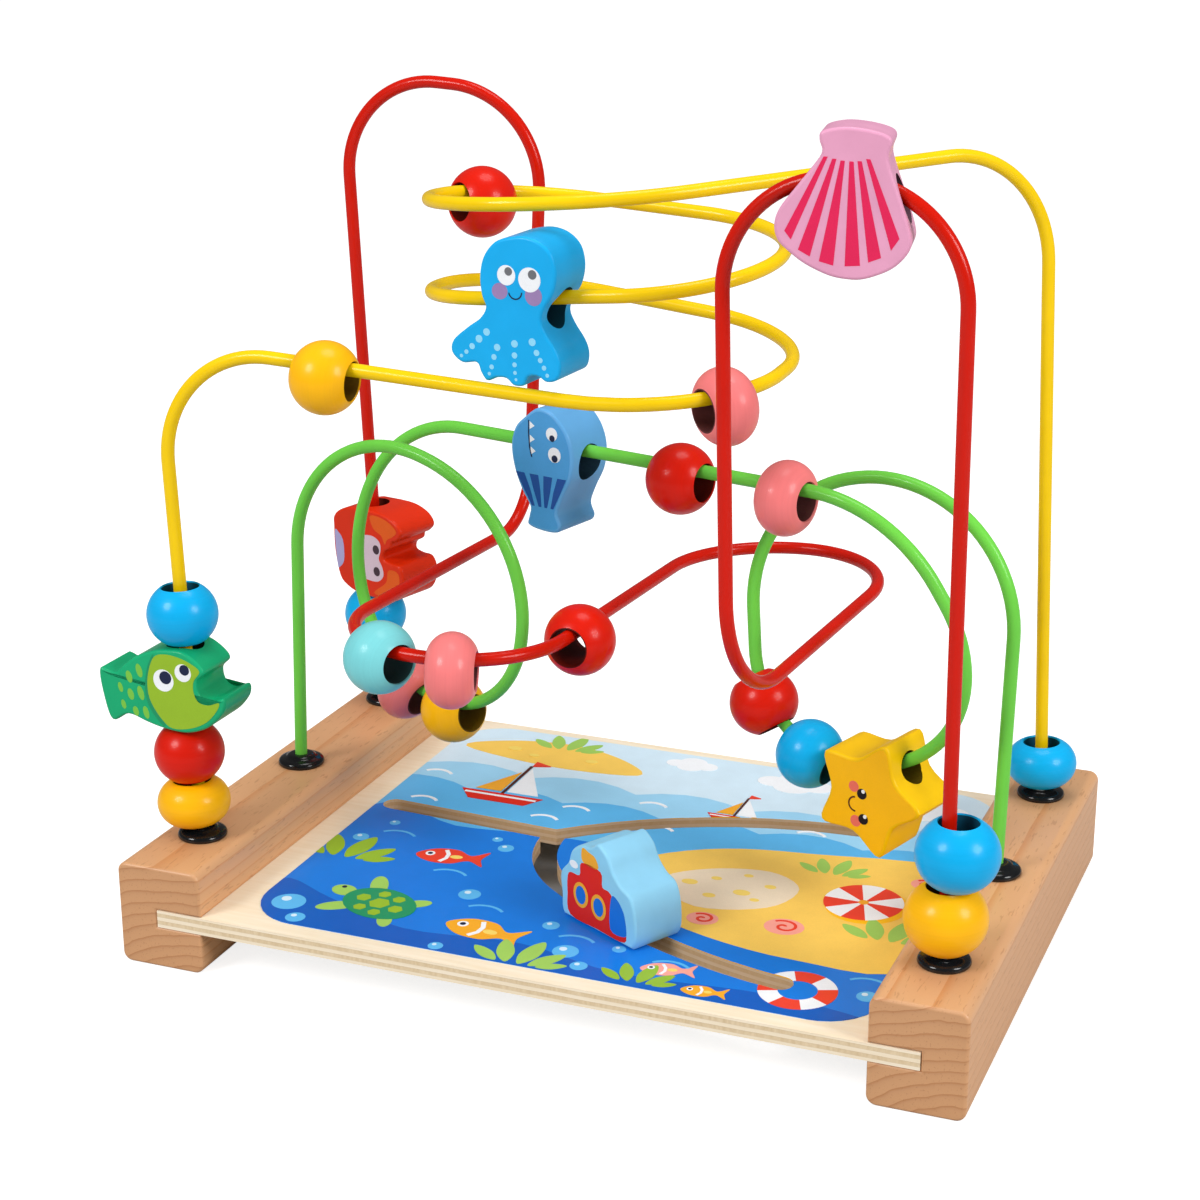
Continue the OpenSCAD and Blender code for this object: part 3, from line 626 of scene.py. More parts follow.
def stroke(points, width):
    """Outline of a line of even width through points."""
    points = vectors(points)
    left, right = [], []
    for i, p in enumerate(points):
        along = (points[min(i + 1, len(points) - 1)] - points[max(i - 1, 0)]).normalized()
        side = Vector((-along.y, along.x)) * width / 2
        left.append(p + side)
        right.append(p - side)
    return left + right[::-1]


def arc_line(x, y, radius, start, end, steps=10):
    angles = [radians(start + (end - start) * k / steps) for k in range(steps + 1)]
    return [(x + radius * cos(a), y + radius * sin(a)) for a in angles]


def plate(made, points, low, high, lift, material):
    """Flat-sided plate from an outline. lift maps an outline point and a height to a place."""
    rings = [[made.verts.new(lift(p, h)) for p in points] for h in (low, high)]
    bridge(made, rings, closed=False, material=material)
    for ring in rings:
        made.faces.new(ring).material_index = material


def standing(point, height):
    """Place of an outline point in local X and Z, at a height along local Y."""
    return Vector((point.x, height, point.y)) * MM


def board(name, outline, thickness, placed, materials, edge=EDGE_ROUND):
    """Board cut to an outline in local X and Z, with rounded edges. Thickness lies along local Y."""
    made = bmesh.new()
    plate(made, outline, -thickness / 2, thickness / 2, standing, 0)
    bmesh.ops.recalc_face_normals(made, faces=made.faces)
    rims = [e for e in made.edges if any(len(f.verts) == len(outline) for f in e.link_faces)]
    bmesh.ops.bevel(made, geom=rims, offset=edge * MM, segments=EDGE_STEPS, profile=0.5, affect="EDGES")
    made.transform(placed)
    return new_piece(name, made, materials, sharp=40)


def cut_bore(piece, placed, along, radius):
    """Round bore through a piece, along local X or Z."""
    made = bmesh.new()
    turn = Matrix.Rotation(pi / 2, 4, "Y") if along == "X" else Matrix.Identity(4)
    size = {"radius1": radius * MM, "radius2": radius * MM, "depth": CUTTER_LENGTH * MM}
    bmesh.ops.create_cone(made, cap_ends=True, segments=CUTTER_SIDES, matrix=placed @ turn, **size)
    # The bore's walls take the piece's second material, the bore's painted shade.
    for face in made.faces:
        face.material_index = 1
    cutter = new_piece(piece.name + "_cutter", made, list(piece.data.materials))
    combine(piece, cutter, "DIFFERENCE")


def combine(piece, other, operation):
    """Applies a boolean and drops the other piece."""
    change = piece.modifiers.new("combine", "BOOLEAN")
    change.operation, change.object, change.solver = operation, other, "EXACT"
    change.use_self = operation == "INTERSECT"
    found = bpy.data.meshes.new_from_object(piece.evaluated_get(bpy.context.evaluated_depsgraph_get()))
    piece.modifiers.clear()
    piece.data = found
    bpy.data.objects.remove(other)


def even_normals(piece, sharp=40):
    smooth_shade(piece.data, sharp)
    weighted = piece.modifiers.new("even_normals", "WEIGHTED_NORMAL")
    weighted.keep_sharp = True


PRINT_BASE = -0.05
PRINT_STEP = 0.06


def print_faces(name, body, prints, thickness, placed):
    """Printed plates on a board's two faces: (ink, outline, layer)."""
    made = bmesh.new()
    names = sorted({row[0] for row in prints})
    for side in (-1, 1):
        face = side * thickness / 2
        for colour, outline, layer in prints:
            low, high = face + side * PRINT_BASE, face + side * PRINT_STEP * (layer + 1)
            plate(made, outline, low, high, lambda p, h: placed @ standing(p, h), names.index(colour))
    new_piece(name, made, [inks[n] for n in names], body=body).data.shade_flat()


def placed_by(node, x, z, outline):
    """Placing of a shape whose outline reaches as far as its CAD node along local X and Z."""
    y = z.cross(x)
    east = reach(node, x)[1] - max(p.x for p in outline) * MM
    top = reach(node, z)[1] - max(p.y for p in outline) * MM
    return axes(x * east + y * sum(reach(node, y)) / 2 + z * top, x, z)


def reach(node, axis):
    """How far a CAD node reaches down and up an axis."""
    along = [p.dot(axis) for p in node_points(node)]
    return min(along), max(along)


def make_shape(node, x, z, outline, prints, along, radius):
    """Board with a bore along local X or Z and a print on both faces, in its CAD node's place."""
    placed = placed_by(node, x, z, outline)
    back, front = reach(node, z.cross(x))
    thickness = (front - back) / MM
    piece = board(node + "_board", outline, thickness, placed, [paints[node], shaded_bores[node]])
    if radius:
        cut_bore(piece, placed, along, radius)
    even_normals(piece)
    stand_for(piece, node)
    print_faces(node + "_print", NODE_BODY[node], prints, thickness, placed)


def hang_shape(node, run, degrees, outline, prints, radius):
    """Shape that hangs on a run of wire, turned about its upright axis."""
    up = upright(run)
    ahead = Matrix.Rotation(radians(degrees), 3, up) @ run
    make_shape(node, ahead, up, outline, prints, "X", radius)


def eye(x, y, r, pupil_x, pupil_y, pupil_r, layer=2, pupil="navy"):
    return [("white", disc(x, y, r), layer), (pupil, disc(pupil_x, pupil_y, pupil_r), layer + 1)]


BORE_RADIUS = 6.5

# Fish on the left front leg
FISH_TILT = 8
FISH_HALF = 15


def tilted(point):
    x, y = point
    c, s = cos(radians(FISH_TILT)), sin(radians(FISH_TILT))
    return Vector((x * c - y * s, max(-FISH_HALF, min(FISH_HALF, x * s + y * c))))


fish_outline = [tilted(p) for p in smooth([
    (-28.5, 10), (-23, 8), (-18.5, 10.5), (-13, 13.3), (-6, 15), (0, FISH_HALF), (6, 14), (11, 10),
    (13, 6), (9.5, 3), (9.5, -2), (13, -4.5), (18.5, -3.5), (18, -7.5), (13, -12), (7, -14.5),
    (0, -FISH_HALF), (-8, -13), (-14, -10.5), (-21, -7.2), (-28, -9), (-29.5, 0),
])]
fish_face = smooth([
    (-10.6, 0), (-9.8, 6), (-7, 12), (-2.5, 13.4), (3, 12.6), (8, 10.6), (10.6, 8.2), (8, 4.6), (7.6, 0.5),
    (9.2, -2.8), (13, -3.6), (17.2, -2.4), (16, -5.5), (11.5, -10), (5, -12.8), (-2, -13.4), (-6, -10.5),
    (-9.5, -5),
])
fish_gill = smooth([
    (-7.2, 13), (-10, 8), (-11.7, 0), (-10.3, -7), (-6, -12.7), (-5, -11), (-8, -2), (-8, 8),
])
fish_scales = [
    (-13.4, 6.6, 1.2, 2.5), (-17.7, 4, 1.2, 2.2), (-21.6, -0.2, 0.9, 1.8), (-17.7, -2.4, 1.2, 2.1),
    (-13.6, -1.6, 1.2, 2.6), (-21, -6.4, 0.9, 1.7), (-16.3, -8.5, 1.1, 1.8), (-12.2, -8.6, 1.1, 2.3),
]
fish_prints = [("leaf", fish_gill, 0), ("lime", fish_face, 1)]
fish_prints += [("scale", disc(x, y, rx, ry, 12), 0) for x, y, rx, ry in fish_scales]
fish_prints += eye(-3.9, 3.9, 4, -3, 5, 2.35) + eye(4.1, 7.3, 3.2, 4.8, 8.4, 1.9)
left_leg = ROUTES["wire_yellow"].ahead(LEG_RUN)
fish_ahead = square_to(Vector((1, 0, 0)), left_leg)
make_shape("fish", fish_ahead, left_leg, fish_outline, fish_prints, "Z", BORE_RADIUS)

# Crab on the left back leg, lying on its side
CRAB_TURN = -17
CRAB_HALF = 18
crab_outline = [Vector((p.x, max(-CRAB_HALF, min(CRAB_HALF, p.y)))) for p in smooth([
    (-13.8, -1), (-13.5, 9), (-13, 13), (-9.5, 16), (-3, CRAB_HALF), (6, CRAB_HALF), (14.5, 17.3),
    (21, 14.5), (23.5, 10.5), (21, 7.5), (18.5, 6.5), (17.5, 4), (14, 2), (13.2, -1), (17, -2.2),
    (21.5, -2.8), (23.5, -7), (22.5, -13), (19, -17), (13, -18.5), (6, -CRAB_HALF), (-2, -17.5),
    (-8, -15.4), (-12, -11.5),
])]
crab_belly = smooth([
    (-12.6, 6.8), (-10.5, 6.6), (-8.6, 4), (-8.2, -0.5), (-8.8, -5), (-11, -7.6), (-12.4, -7),
])
crab_mask = smooth([
    (2.5, 6.5), (5, 7.8), (9, 7.6), (11.9, 5.5), (12, 2.2), (10.8, -1.2), (12.4, -4.5), (12.6, -8),
    (9.6, -10.6), (5, -10.8), (2.5, -9.5), (1.8, -1.5),
])
crab_upper_claw = smooth([
    (7.5, 15.8), (12, 16.2), (17.5, 14.6), (21.3, 11.4), (19, 9), (16, 7.4), (14.6, 5.4), (13, 8.6),
    (9, 11),
])
crab_lower_claw = smooth([
    (7, -15.5), (12, -16.6), (17.5, -15.6), (20.6, -11.5), (21.3, -7), (19.5, -5), (15.5, -5.4),
    (13.8, -10.5),
])
crab_prints = [
    ("lavender", crab_belly, 0), ("lilac", crab_mask, 0),
    ("plum", disc(9.6, 2.4, 1.7, 1.9), 1), ("plum", disc(9.2, -6.6, 1.7, 1.9), 1),
    ("orange", crab_upper_claw, 0), ("orange", crab_lower_claw, 0),
]
back_leg = ROUTES["wire_red"].ahead(LEG_RUN)
heading = Vector((cos(radians(CRAB_TURN)), sin(radians(CRAB_TURN)), 0))
crab_ahead = square_to(heading, back_leg)
make_shape("crab", crab_ahead, back_leg, crab_outline, crab_prints, "Z", BORE_RADIUS)

# Octopus on the coil's front run
OCTOPUS_TURN = -6
octopus_outline = smooth([
    (0, 24), (-6, 22.5), (-10.5, 18), (-12.5, 12), (-12.5, 6), (-11.5, 2), (-14, -1.5), (-19, -4.5),
    (-24.5, -8.5), (-25.5, -12.5), (-22, -15.8), (-16.8, -15.8), (-15.5, -19), (-13.5, -21.6),
    (-10, -20.6), (-6.5, -20.8), (-4, -23), (-0.5, -23), (1.5, -20.2), (5, -20), (8, -21.8), (12, -20.8),
    (13.5, -16.5), (12.5, -12), (9.5, -6.8), (8, -2.5), (9.5, 1.5), (13, 6), (14.8, 12), (14, 18),
    (10.5, 22), (5.5, 24),
])
octopus_dots = [
    (-11.7, -5.8, 1.2), (-14.7, -8, 1.25), (-17.5, -10.4, 1), (-19.8, -12.2, 0.75), (-21.8, -13.5, 0.6),
    (-8.4, -10.7, 1.15), (-9.9, -13.8, 0.95), (-11.1, -17, 0.8), (-12.2, -19.2, 0.6),
    (-2, -9.5, 1.2), (-2.4, -13.2, 1), (-2.7, -16.2, 0.8), (-2.8, -18.8, 0.65), (-2.7, -21, 0.5),
    (4.4, -8.9, 1.25), (5.6, -12.3, 1), (6.7, -14.7, 0.85), (7.8, -17.1, 0.8), (8.7, -19.5, 0.65),
]
octopus_prints = [("dot", disc(x, y, r, points=16), 0) for x, y, r in octopus_dots]
octopus_prints += [("mauve", disc(-5.5, 7.2, 2.8, 2.6), 0), ("mauve", disc(6.4, 5.6, 3, 3.1), 0)]
octopus_prints += [("navy", stroke(arc_line(0, 6.9, 2.3, 185, 355), 0.45), 0)]
octopus_prints += eye(-2.6, 12.2, 3.2, -1.7, 13.4, 1.35, 1, "grey")
octopus_prints += eye(5.5, 10.7, 3.9, 6.7, 12.3, 1.5, 1, "grey")
coil_run = ROUTES["wire_yellow"].ahead(COIL_RUN)
hang_shape("octopus", coil_run, OCTOPUS_TURN, octopus_outline, octopus_prints, BORE_RADIUS)

# Shark on the green wire's middle run
shark_outline = smooth([
    (-2, 19), (-7, 15.5), (-11.5, 11), (-13.3, 4), (-12, -4), (-9, -11), (-5.5, -16.5), (-6, -20),
    (-6.3, -23.5), (0, -24.8), (6, -24.5), (8, -22), (6.5, -17.5), (9, -11), (12.5, -4), (13.5, 4),
    (11.5, 11), (7.5, 16), (3, 18.8),
])
shark_face = smooth([
    (-1.8, 17.8), (-6.4, 14.6), (-10.6, 10.4), (-12.2, 4), (-10.9, -3.8), (-8, -10.4), (-4.5, -16.3),
    (-5, -20.2), (-5.2, -22.6), (0, -23.6), (5.6, -23.3), (6.8, -21.6), (5.4, -17.5), (7.9, -11),
    (11.3, -4), (12.3, 4), (10.4, 10.6), (6.8, 15), (2.8, 17.6),
])
shark_prints = [("shark_face", shark_face, 0)]
for top, foot in ((-9.3, -3.6), (-3.2, -0.7), (2.9, 1.8), (8.9, 4.5)):
    middle = (top + foot) / 2
    stripe = [(top - 1.9, -4.6), (top + 1.9, -4.6), (middle + 1.5, -10)]
    stripe += [(foot + 0.6, -16), (foot - 0.6, -16), (middle - 1.5, -10)]
    shark_prints.append(("stripe", vectors(stripe), 1))
shark_prints.append(("navy", stroke([(-5.1, 14.6), (-5.2, 10), (-4.9, 5), (-4, 1.5)], 0.5), 1))
for x, y in ((-4.7, 12.8), (-4.7, 8), (-4.4, 3.8)):
    tooth = [(x, y + 1.4), (x, y - 1.4), (x + 2.1, y)]
    shark_prints.append(("white", vectors(tooth), 1))
shark_prints += eye(4.8, 10.8, 2.4, 5, 9.4, 1.15) + eye(5.9, 3.6, 2.7, 6, 2.3, 1.3)
middle_run = ROUTES["wire_green"].ahead(MIDDLE_RUN)
hang_shape("shark", middle_run, 0, shark_outline, shark_prints, BORE_RADIUS)

# Shell on the right arch
SHELL_TURN = 12
SHELL_BORE = 7
SHELL_RIB_TIP = 0.6
shell_outline = smooth([
    (-8.6, 19), (-9.2, 16.5), (-8.3, 13.2), (-10.6, 9.2), (-14.9, 3.3), (-19.6, -3.3), (-21, -8),
    (-19.9, -12.6), (-16.3, -16), (-11.6, -19.2), (-5, -22), (0.3, -22.9), (5.6, -22.6), (12.3, -19.9),
    (16.3, -16.6), (18.6, -12.6), (18.3, -8.6), (15, 0.6), (11.6, 9.2), (10.6, 13.2), (11.5, 17),
    (9.6, 19), (3.6, 20.3), (-3, 20.5),
])
shell_ribs = [
    ((-7.1, 12), (-17.9, -9.8), (-15.9, -12.2)), ((-4.6, 11.5), (-13.7, -15), (-10.2, -16.8)),
    ((-2.2, 11.1), (-7.5, -18), (-3.3, -19)), ((0.3, 11), (0, -19), (4.4, -18.6)),
    ((2.6, 11.2), (6.7, -17.5), (10.3, -16)), ((5, 11.9), (13, -13.7), (15.2, -10.2)),
]
shell_prints = []
for (x, y), left, right in shell_ribs:
    rib = [(x - SHELL_RIB_TIP, y), left, right, (x + SHELL_RIB_TIP, y)]
    shell_prints.append(("rib", vectors(rib), 0))
arch_top = ROUTES["wire_red"].ahead(ARCH_RUN)
hang_shape("shell", arch_top, SHELL_TURN, shell_outline, shell_prints, SHELL_BORE)

# Star in the right loop
STAR_AT = radians(103.5)
STAR_POINTS, STAR_HOLLOWS, STAR_TURN = 21.5, 14.2, 56
STAR_DROP = 7.5
STAR_BORE = 5.75
STAR_RIM = 1.3


def star_points(inset):
    corners = []
    for k in range(10):
        radius = (STAR_HOLLOWS if k % 2 else STAR_POINTS) - inset
        angle = radians(STAR_TURN + 36 * k)
        corners.append((radius * cos(angle), radius * sin(angle) - STAR_DROP))
    return smooth(corners)


star_prints = [
    ("amber", star_points(STAR_RIM), 0),
    ("blush", disc(-3.6, -3.1, 2), 1), ("blush", disc(-5.6, -15.4, 2.1), 1),
    ("black", disc(-0.9, -5.9, 1.9), 2), ("black", disc(-2.3, -14.9, 1.9), 2),
    ("white", disc(-0.1, -5, 0.7), 3), ("white", disc(-1.4, -14, 0.7), 3),
    ("brown", stroke(arc_line(-4.4, -9.4, 2.6, 80, 258), 0.6), 1),
]
star_ahead = ROUTES["wire_green"].bend(LOOP_BEND, STAR_AT)[1]
hang_shape("star", -star_ahead, 0, star_points(0), star_prints, STAR_BORE)

# Boat in the track
SAME_POINT = 0.01
PEG_PITH = (0.3, -0.1)
boat_outline = [Vector((p.x, max(0, p.y))) for p in smooth([
    (-18, 0), (-19.5, 8), (-20, 15), (-16, 20), (-14, 25), (-9.5, 28.5), (-4, 29.5), (0, 32), (5, 29),
    (8, 24), (12, 20.5), (17, 18), (19.5, 10), (18, 0), (6, -2), (-6, -2),
])]
boat_outline = [p for i, p in enumerate(boat_outline) if (p - boat_outline[i - 1]).length > SAME_POINT]
boat_hull = smooth([
    (-14.5, 1.2), (-16, 9), (-15.3, 16.5), (-9.5, 17.5), (-8.3, 22.5), (1.6, 22.5), (2.6, 17.3), (7, 16.2),
    (13.5, 7), (14, 1.2), (0, 0.9),
], 4)
boat_bow = smooth([(6.8, 3.5), (7.2, 15), (10, 15.6), (13.5, 12), (15, 6), (14, 3.2)], 4)
boat_funnel = smooth([(-7.6, 23), (-8, 28), (-4.5, 27.6), (-1, 26.6), (0.2, 23)], 4)
boat_prints = [
    ("boat_red", boat_hull, 0), ("boat_blue", boat_bow, 1), ("boat_yellow", boat_funnel, 0),
    ("white", disc(-12.5, 20.5, 2.2, 1.4), 0),
]
for x, y in ((-8.8, 10.4), (0.6, 9.2)):
    boat_prints += [("boat_yellow", disc(x, y, 3.9, 4.6), 1), ("boat_blue", disc(x, y, 2.6, 3.3), 2)]
boat_pivot = next(Vector(j["pos_m"]) for j in frame["joints"] if j["child"] == "boat")
spoke = centre_of("boat_peg") - boat_pivot
boat_ahead = Vector((-spoke.y, spoke.x, 0)).normalized()
make_shape("boat", boat_ahead, Vector((0, 0, 1)), boat_outline, boat_prints, "Z", 0)
turned_wood = beech("peg_birch", PEG_PITH)
refinish("boat_peg", turned_wood)
refinish("boat_disc", turned_wood)
refinish("boat_screw", steel("zinc_plate"))

# Rails
RAIL_ROUND = 3.5
RAIL_ARC_STEPS = 6
RAIL_END_EDGE = 1.2
GROOVE_PLAY = 0.1
PITH = {"rail_left": (-0.118, -0.045), "rail_right": (0.152, -0.038)}


def rounded_box(low, high, radius, steps):
    """Outline of a box with round corners, from its upper right corner round to the left."""
    left, right = low.x + radius, high.x - radius
    lower, upper = low.y + radius, high.y - radius
    outline = []
    for k, centre in enumerate([(right, upper), (left, upper), (left, lower), (right, lower)]):
        outline += vectors(arc_line(*centre, radius, 90 * k, 90 * k + 90, steps))
    return outline


def rail_outline(low, high, groove_low, groove_high, groove_x, inner):
    """Rounded rail section with the panel's groove on its inner side, seen along Y."""
    outline = rounded_box(low, high, RAIL_ROUND, RAIL_ARC_STEPS)
    notch = [(inner, groove_high), (groove_x, groove_high), (groove_x, groove_low), (inner, groove_low)]
    notch = vectors(notch)
    if inner == low.x:
        turn = 2 * (RAIL_ARC_STEPS + 1)
        return outline[:turn] + notch + outline[turn:]
    return outline + notch[::-1]


panel_low, panel_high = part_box("panel")
groove_low, groove_high = panel_low.z / MM - GROOVE_PLAY, panel_high.z / MM + GROOVE_PLAY
for node, inner_side in (("rail_left", 1), ("rail_right", -1)):
    low, high = (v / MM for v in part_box(node))
    inner = high.x if inner_side > 0 else low.x
    groove_x = (panel_low.x if inner_side > 0 else panel_high.x) / MM - inner_side * GROOVE_PLAY
    outline = rail_outline(low.xz, high.xz, groove_low, groove_high, groove_x, inner)
    wood = beech("beech_" + node, PITH[node])
    piece = board(node + "_beech", outline, high.y - low.y, Matrix.Identity(4), [wood], RAIL_END_EDGE)
    even_normals(piece, sharp=30)
    stand_for(piece, node)

# Panel and its print
refinish("panel", plywood("plywood_panel", panel_low.z, panel_high.z))
COLUMN_RISE = 10 * MM
WELD = 1e-6
PRINT_LOW, PRINT_HIGH = Vector((-107, -95)), Vector((116, 98))
PRINT_CORNER, PRINT_ARC_STEPS = 20, 8
print_region = rounded_box(PRINT_LOW, PRINT_HIGH, PRINT_CORNER, PRINT_ARC_STEPS)


def clipped(points, region):
    """Outline cut to a convex region."""
    for a, b in zip(region, region[1:] + region[:1]):
        edge, kept = b - a, []
        for p, q in zip(points, points[1:] + points[:1]):
            here, there = edge.cross(p - a), edge.cross(q - a)
            if here >= 0:
                kept.append(p)
            if (here >= 0) != (there >= 0):
                kept.append(p.lerp(q, here / (here - there)))
        points = kept
    return points


def wave_band(left, right, base, crest, count, depth):
    """Band with a scalloped upper edge and a flat lower one."""
    step = (right - left) / count
    top = []
    for k in range(count):
        for u in (0, 0.2, 0.4, 0.6, 0.8):
            top.append((left + step * (k + u), base + crest * (1 - (2 * u - 1) ** 2)))
    return vectors(top + [(right, base), (right, base - depth), (left, base - depth)])


def moved(points, x, y, scale=1.0, turn=0.0):
    """Outline points scaled, turned and set at a place."""
    c, s = scale * cos(radians(turn)), scale * sin(radians(turn))
    return [(x + u * c - v * s, y + u * s + v * c) for u, v in points]


def sector(x, y, inner, outer, start, end):
    """Part of a ring between two angles."""
    ring = arc_line(x, y, outer, start, end, 8) + arc_line(x, y, inner, end, start, 8)
    return vectors(ring)


def cloud(x, y, size):
    puffs = ((-9, 0, 6), (0, 3.5, 8), (9, 0, 6.5), (0, -2.5, 8))
    ovals = [(x + u * size, y + v * size, r * size, r * 0.8 * size) for u, v, r in puffs]
    return [("white", disc(*oval, points=20), 3) for oval in ovals]


def tuft(x, y, colour, size, layer):
    """Fan of leaves."""
    leaf = [(0, 0), (6, 3.2), (13, 2.8), (18, 0), (13, -2.8), (6, -3.2)]
    fan = ((-6, 145, 0.8), (-2, 112, 1.0), (3, 82, 1.1), (7, 52, 0.9), (10, 25, 0.65))
    leaves = [moved(leaf, x + shift * size, y, scale * size, turn) for shift, turn, scale in fan]
    return [(colour, smooth(points, 4), layer) for points in leaves]


def small_fish(x, y, scale, turn, colour):
    body = [(-15, 0), (-8, 6.5), (2, 7), (9, 2.5), (16, 7.5)]
    body += [(14, 0), (16, -7), (9, -2.5), (2, -6.5), (-8, -6)]
    band = moved([(-3, 6), (-1, 2), (-1, -2), (-3, -5.6)], x, y, scale, turn)
    eye_at, fin_at = moved([(-9, 1.4), (3, 0)], x, y, scale, turn)
    return [
        (colour, smooth(moved(body, x, y, scale, turn)), 5),
        ("white", stroke(band, 1.8 * scale), 6),
        ("white", disc(*eye_at, 2.1 * scale), 6),
        ("navy", disc(*eye_at, 1.1 * scale, points=16), 7),
        ("sand_dot", disc(*fin_at, 2.8 * scale, 1.7 * scale, turn, 18), 6),
    ]


def turtle(x, y, scale, turn):
    """Turtle seen from above, with a spotted shell."""
    limbs = [(-9, 9, 6.5, 2.8, 130), (-9, -9, 6.5, 2.8, -130), (9, 7, 4.5, 2.3, 50), (9, -7, 4.5, 2.3, -50)]
    head = (-15, 0, 4.2, 3.4, 0)
    spots = [(0, 0, 3.4), (6.6, 0, 2.4), (-6.6, 0, 2.4)]
    spots += [(3, 5.4, 2.1), (-3, 5.4, 2.1), (3, -5.4, 2.1), (-3, -5.4, 2.1)]
    parts = []

    def at(u, v):
        return moved([(u, v)], x, y, scale, turn)[0]

    for u, v, rx, ry, angle in limbs + [head]:
        parts.append(("grass", disc(*at(u, v), rx * scale, ry * scale, angle + turn), 5))
    parts.append(("leaf", disc(x, y, 12.5 * scale, 9.5 * scale, turn), 6))
    parts += [("lime", disc(*at(u, v), r * scale, points=6), 7) for u, v, r in spots]
    parts.append(("navy", disc(*at(-16.5, 1.6), 0.8 * scale, points=14), 6))
    return parts


def sailing_boat(x, y, scale):
    hull = [(-17, 0), (17, 0), (12, -8), (-11, -8)]
    main_sail, fore_sail = [(1, 2), (1, 27), (14, 2)], [(-1.5, 2), (-1.5, 22), (-12, 2)]
    flag = [(0, 29), (0, 34), (7, 31.5)]
    trim, mast = [(-14.6, -2.6), (15, -2.6)], [(-0.2, 0), (-0.2, 29)]

    def shape(points):
        return vectors(moved(points, x, y, scale))

    return [
        ("boat_red", shape(hull), 5), ("white", shape(main_sail), 5), ("boat_yellow", shape(fore_sail), 5),
        ("white", stroke(shape(trim), 1.4 * scale), 6), ("brown", stroke(shape(mast), 1.1 * scale), 6),
        ("coral", shape(flag), 6),
    ]


def parasol(x, y, radius):
    """Beach parasol seen from above."""
    parts = [("amber", disc(x + 1.5, y - 1.8, radius + 0.6), 5)]
    for k in range(10):
        colour = "coral" if k % 2 else "white"
        parts.append((colour, sector(x, y, 0.5, radius, 36 * k, 36 * k + 36), 6))
    return parts + [("boat_yellow", disc(x, y, 1.8, points=18), 7)]


def life_ring(x, y, radius):
    inner = radius * 0.5
    ring = [("coral", sector(x, y, inner, radius, 45 * k, 45 * k + 45), 5) for k in range(8)]
    bands = [("white", sector(x, y, inner, radius, 22 + 90 * k, 62 + 90 * k), 6) for k in range(4)]
    return ring + bands


def snail(x, y, scale):
    spiral = []
    for t in range(8, 100, 4):
        spiral.append((x + t * 0.055 * scale * cos(t / 11), y + t * 0.05 * scale * sin(t / 11)))
    return [("coral_dot", disc(x, y, 7 * scale, 6 * scale), 5), ("coral", stroke(spiral, 1.1), 6)]


def bubble(x, y, r):
    return [("shoal", disc(x, y, r), 5), ("pale", disc(x - r * 0.3, y + r * 0.3, r * 0.3, points=14), 6)]


deep_sea = smooth([
    (-108, 6), (-70, 0), (-36, 4), (-8, 2), (14, -20), (44, -46), (84, -54), (118, -48), (118, -98),
    (0, -98), (-108, -98),
])
sea_bed = smooth([
    (-108, -64), (-84, -72), (-50, -84), (-8, -80), (30, -88), (80, -84), (118, -90), (118, -99), (0, -99),
    (-108, -99),
])
beach = smooth([(2, -8), (24, 14), (60, 24), (118, 26), (118, -50), (80, -58), (40, -50), (12, -34)])
dune = smooth([(18, -16), (30, -2), (52, 4), (66, -6), (60, -24), (36, -32)])
island = smooth([(-100, 74), (-84, 86), (-58, 90), (-34, 82), (-24, 70), (-60, 66)])
grains = [
    (28, -14, 3), (38, -22, 2.4), (36, -8, 2), (48, -16, 3.2), (56, -8, 2.2), (46, -2, 1.8), (54, -20, 1.8),
    (-80, 78, 3), (-70, 74, 2.2), (-46, 76, 2.6),
]
crests = [
    (-98, 44), (-34, 30), (56, 40), (84, 50), (104, 40), (-92, 18), (66, 58), (2, 24), (-8, 44), (-42, 18),
]
ripples = [(-86, -16), (-54, -40), (-30, -62), (8, -72), (44, -78), (108, -66)]
bubbles = [
    (-96, -80, 6), (-88, -90, 3.5), (-40, -52, 4), (8, -80, 4.5), (16, -88, 3), (-4, -64, 3),
    (-44, -12, 3), (-50, -6, 2), (24, -72, 2.4), (110, -74, 3.5), (-34, -92, 2.6), (-98, -22, 3),
    (-92, -6, 2), (66, -72, 3),
]
art = [("pale", print_region, 0)]
art += [("sky", wave_band(-108, 117, 52, 7, 5, 60), 1), ("shoal", wave_band(-120, 117, 34, 6, 6, 40), 2)]
art += [("sea", deep_sea, 3), ("deep", sea_bed, 4)]
art += [("sand", beach, 4), ("cream", dune, 5), ("sand", island, 2)]
art += [("sand_dot", disc(x, y, r, r * 0.7, points=18), 6) for x, y, r in grains]
art += tuft(-62, 84, "grass", 0.8, 3) + tuft(104, -34, "grass", 0.9, 5) + tuft(72, 10, "grass", 0.7, 5)
art += tuft(-98, -40, "lime", 1.0, 5) + tuft(-6, -94, "grass", 0.9, 5) + tuft(36, -92, "lime", 0.7, 5)
art += cloud(36, 84, 1.0) + cloud(88, 78, 1.2) + cloud(-8, 88, 0.7)
art += sailing_boat(-66, 34, 1.0) + sailing_boat(24, 46, 0.62)
art += [("white", stroke(arc_line(x, y - 4, 7, 40, 140, 8), 1.3), 5) for x, y in crests]
art += [("shoal", stroke(arc_line(x, y - 5, 9, 45, 135, 8), 1.1), 5) for x, y in ripples]
art += turtle(-66, -70, 1.15, -18) + life_ring(88, -78, 13)
art += small_fish(-60, -26, 0.85, 8, "coral") + small_fish(-24, -76, 0.95, -6, "boat_yellow")
art += small_fish(44, -80, 0.6, 12, "coral_dot") + small_fish(60, -90, 0.5, 6, "boat_yellow")
art += parasol(90, -8, 14) + snail(42, -40, 0.8) + snail(70, -36, 1.0) + snail(106, 14, 0.7)
for x, y, r in bubbles:
    art += bubble(x, y, r)


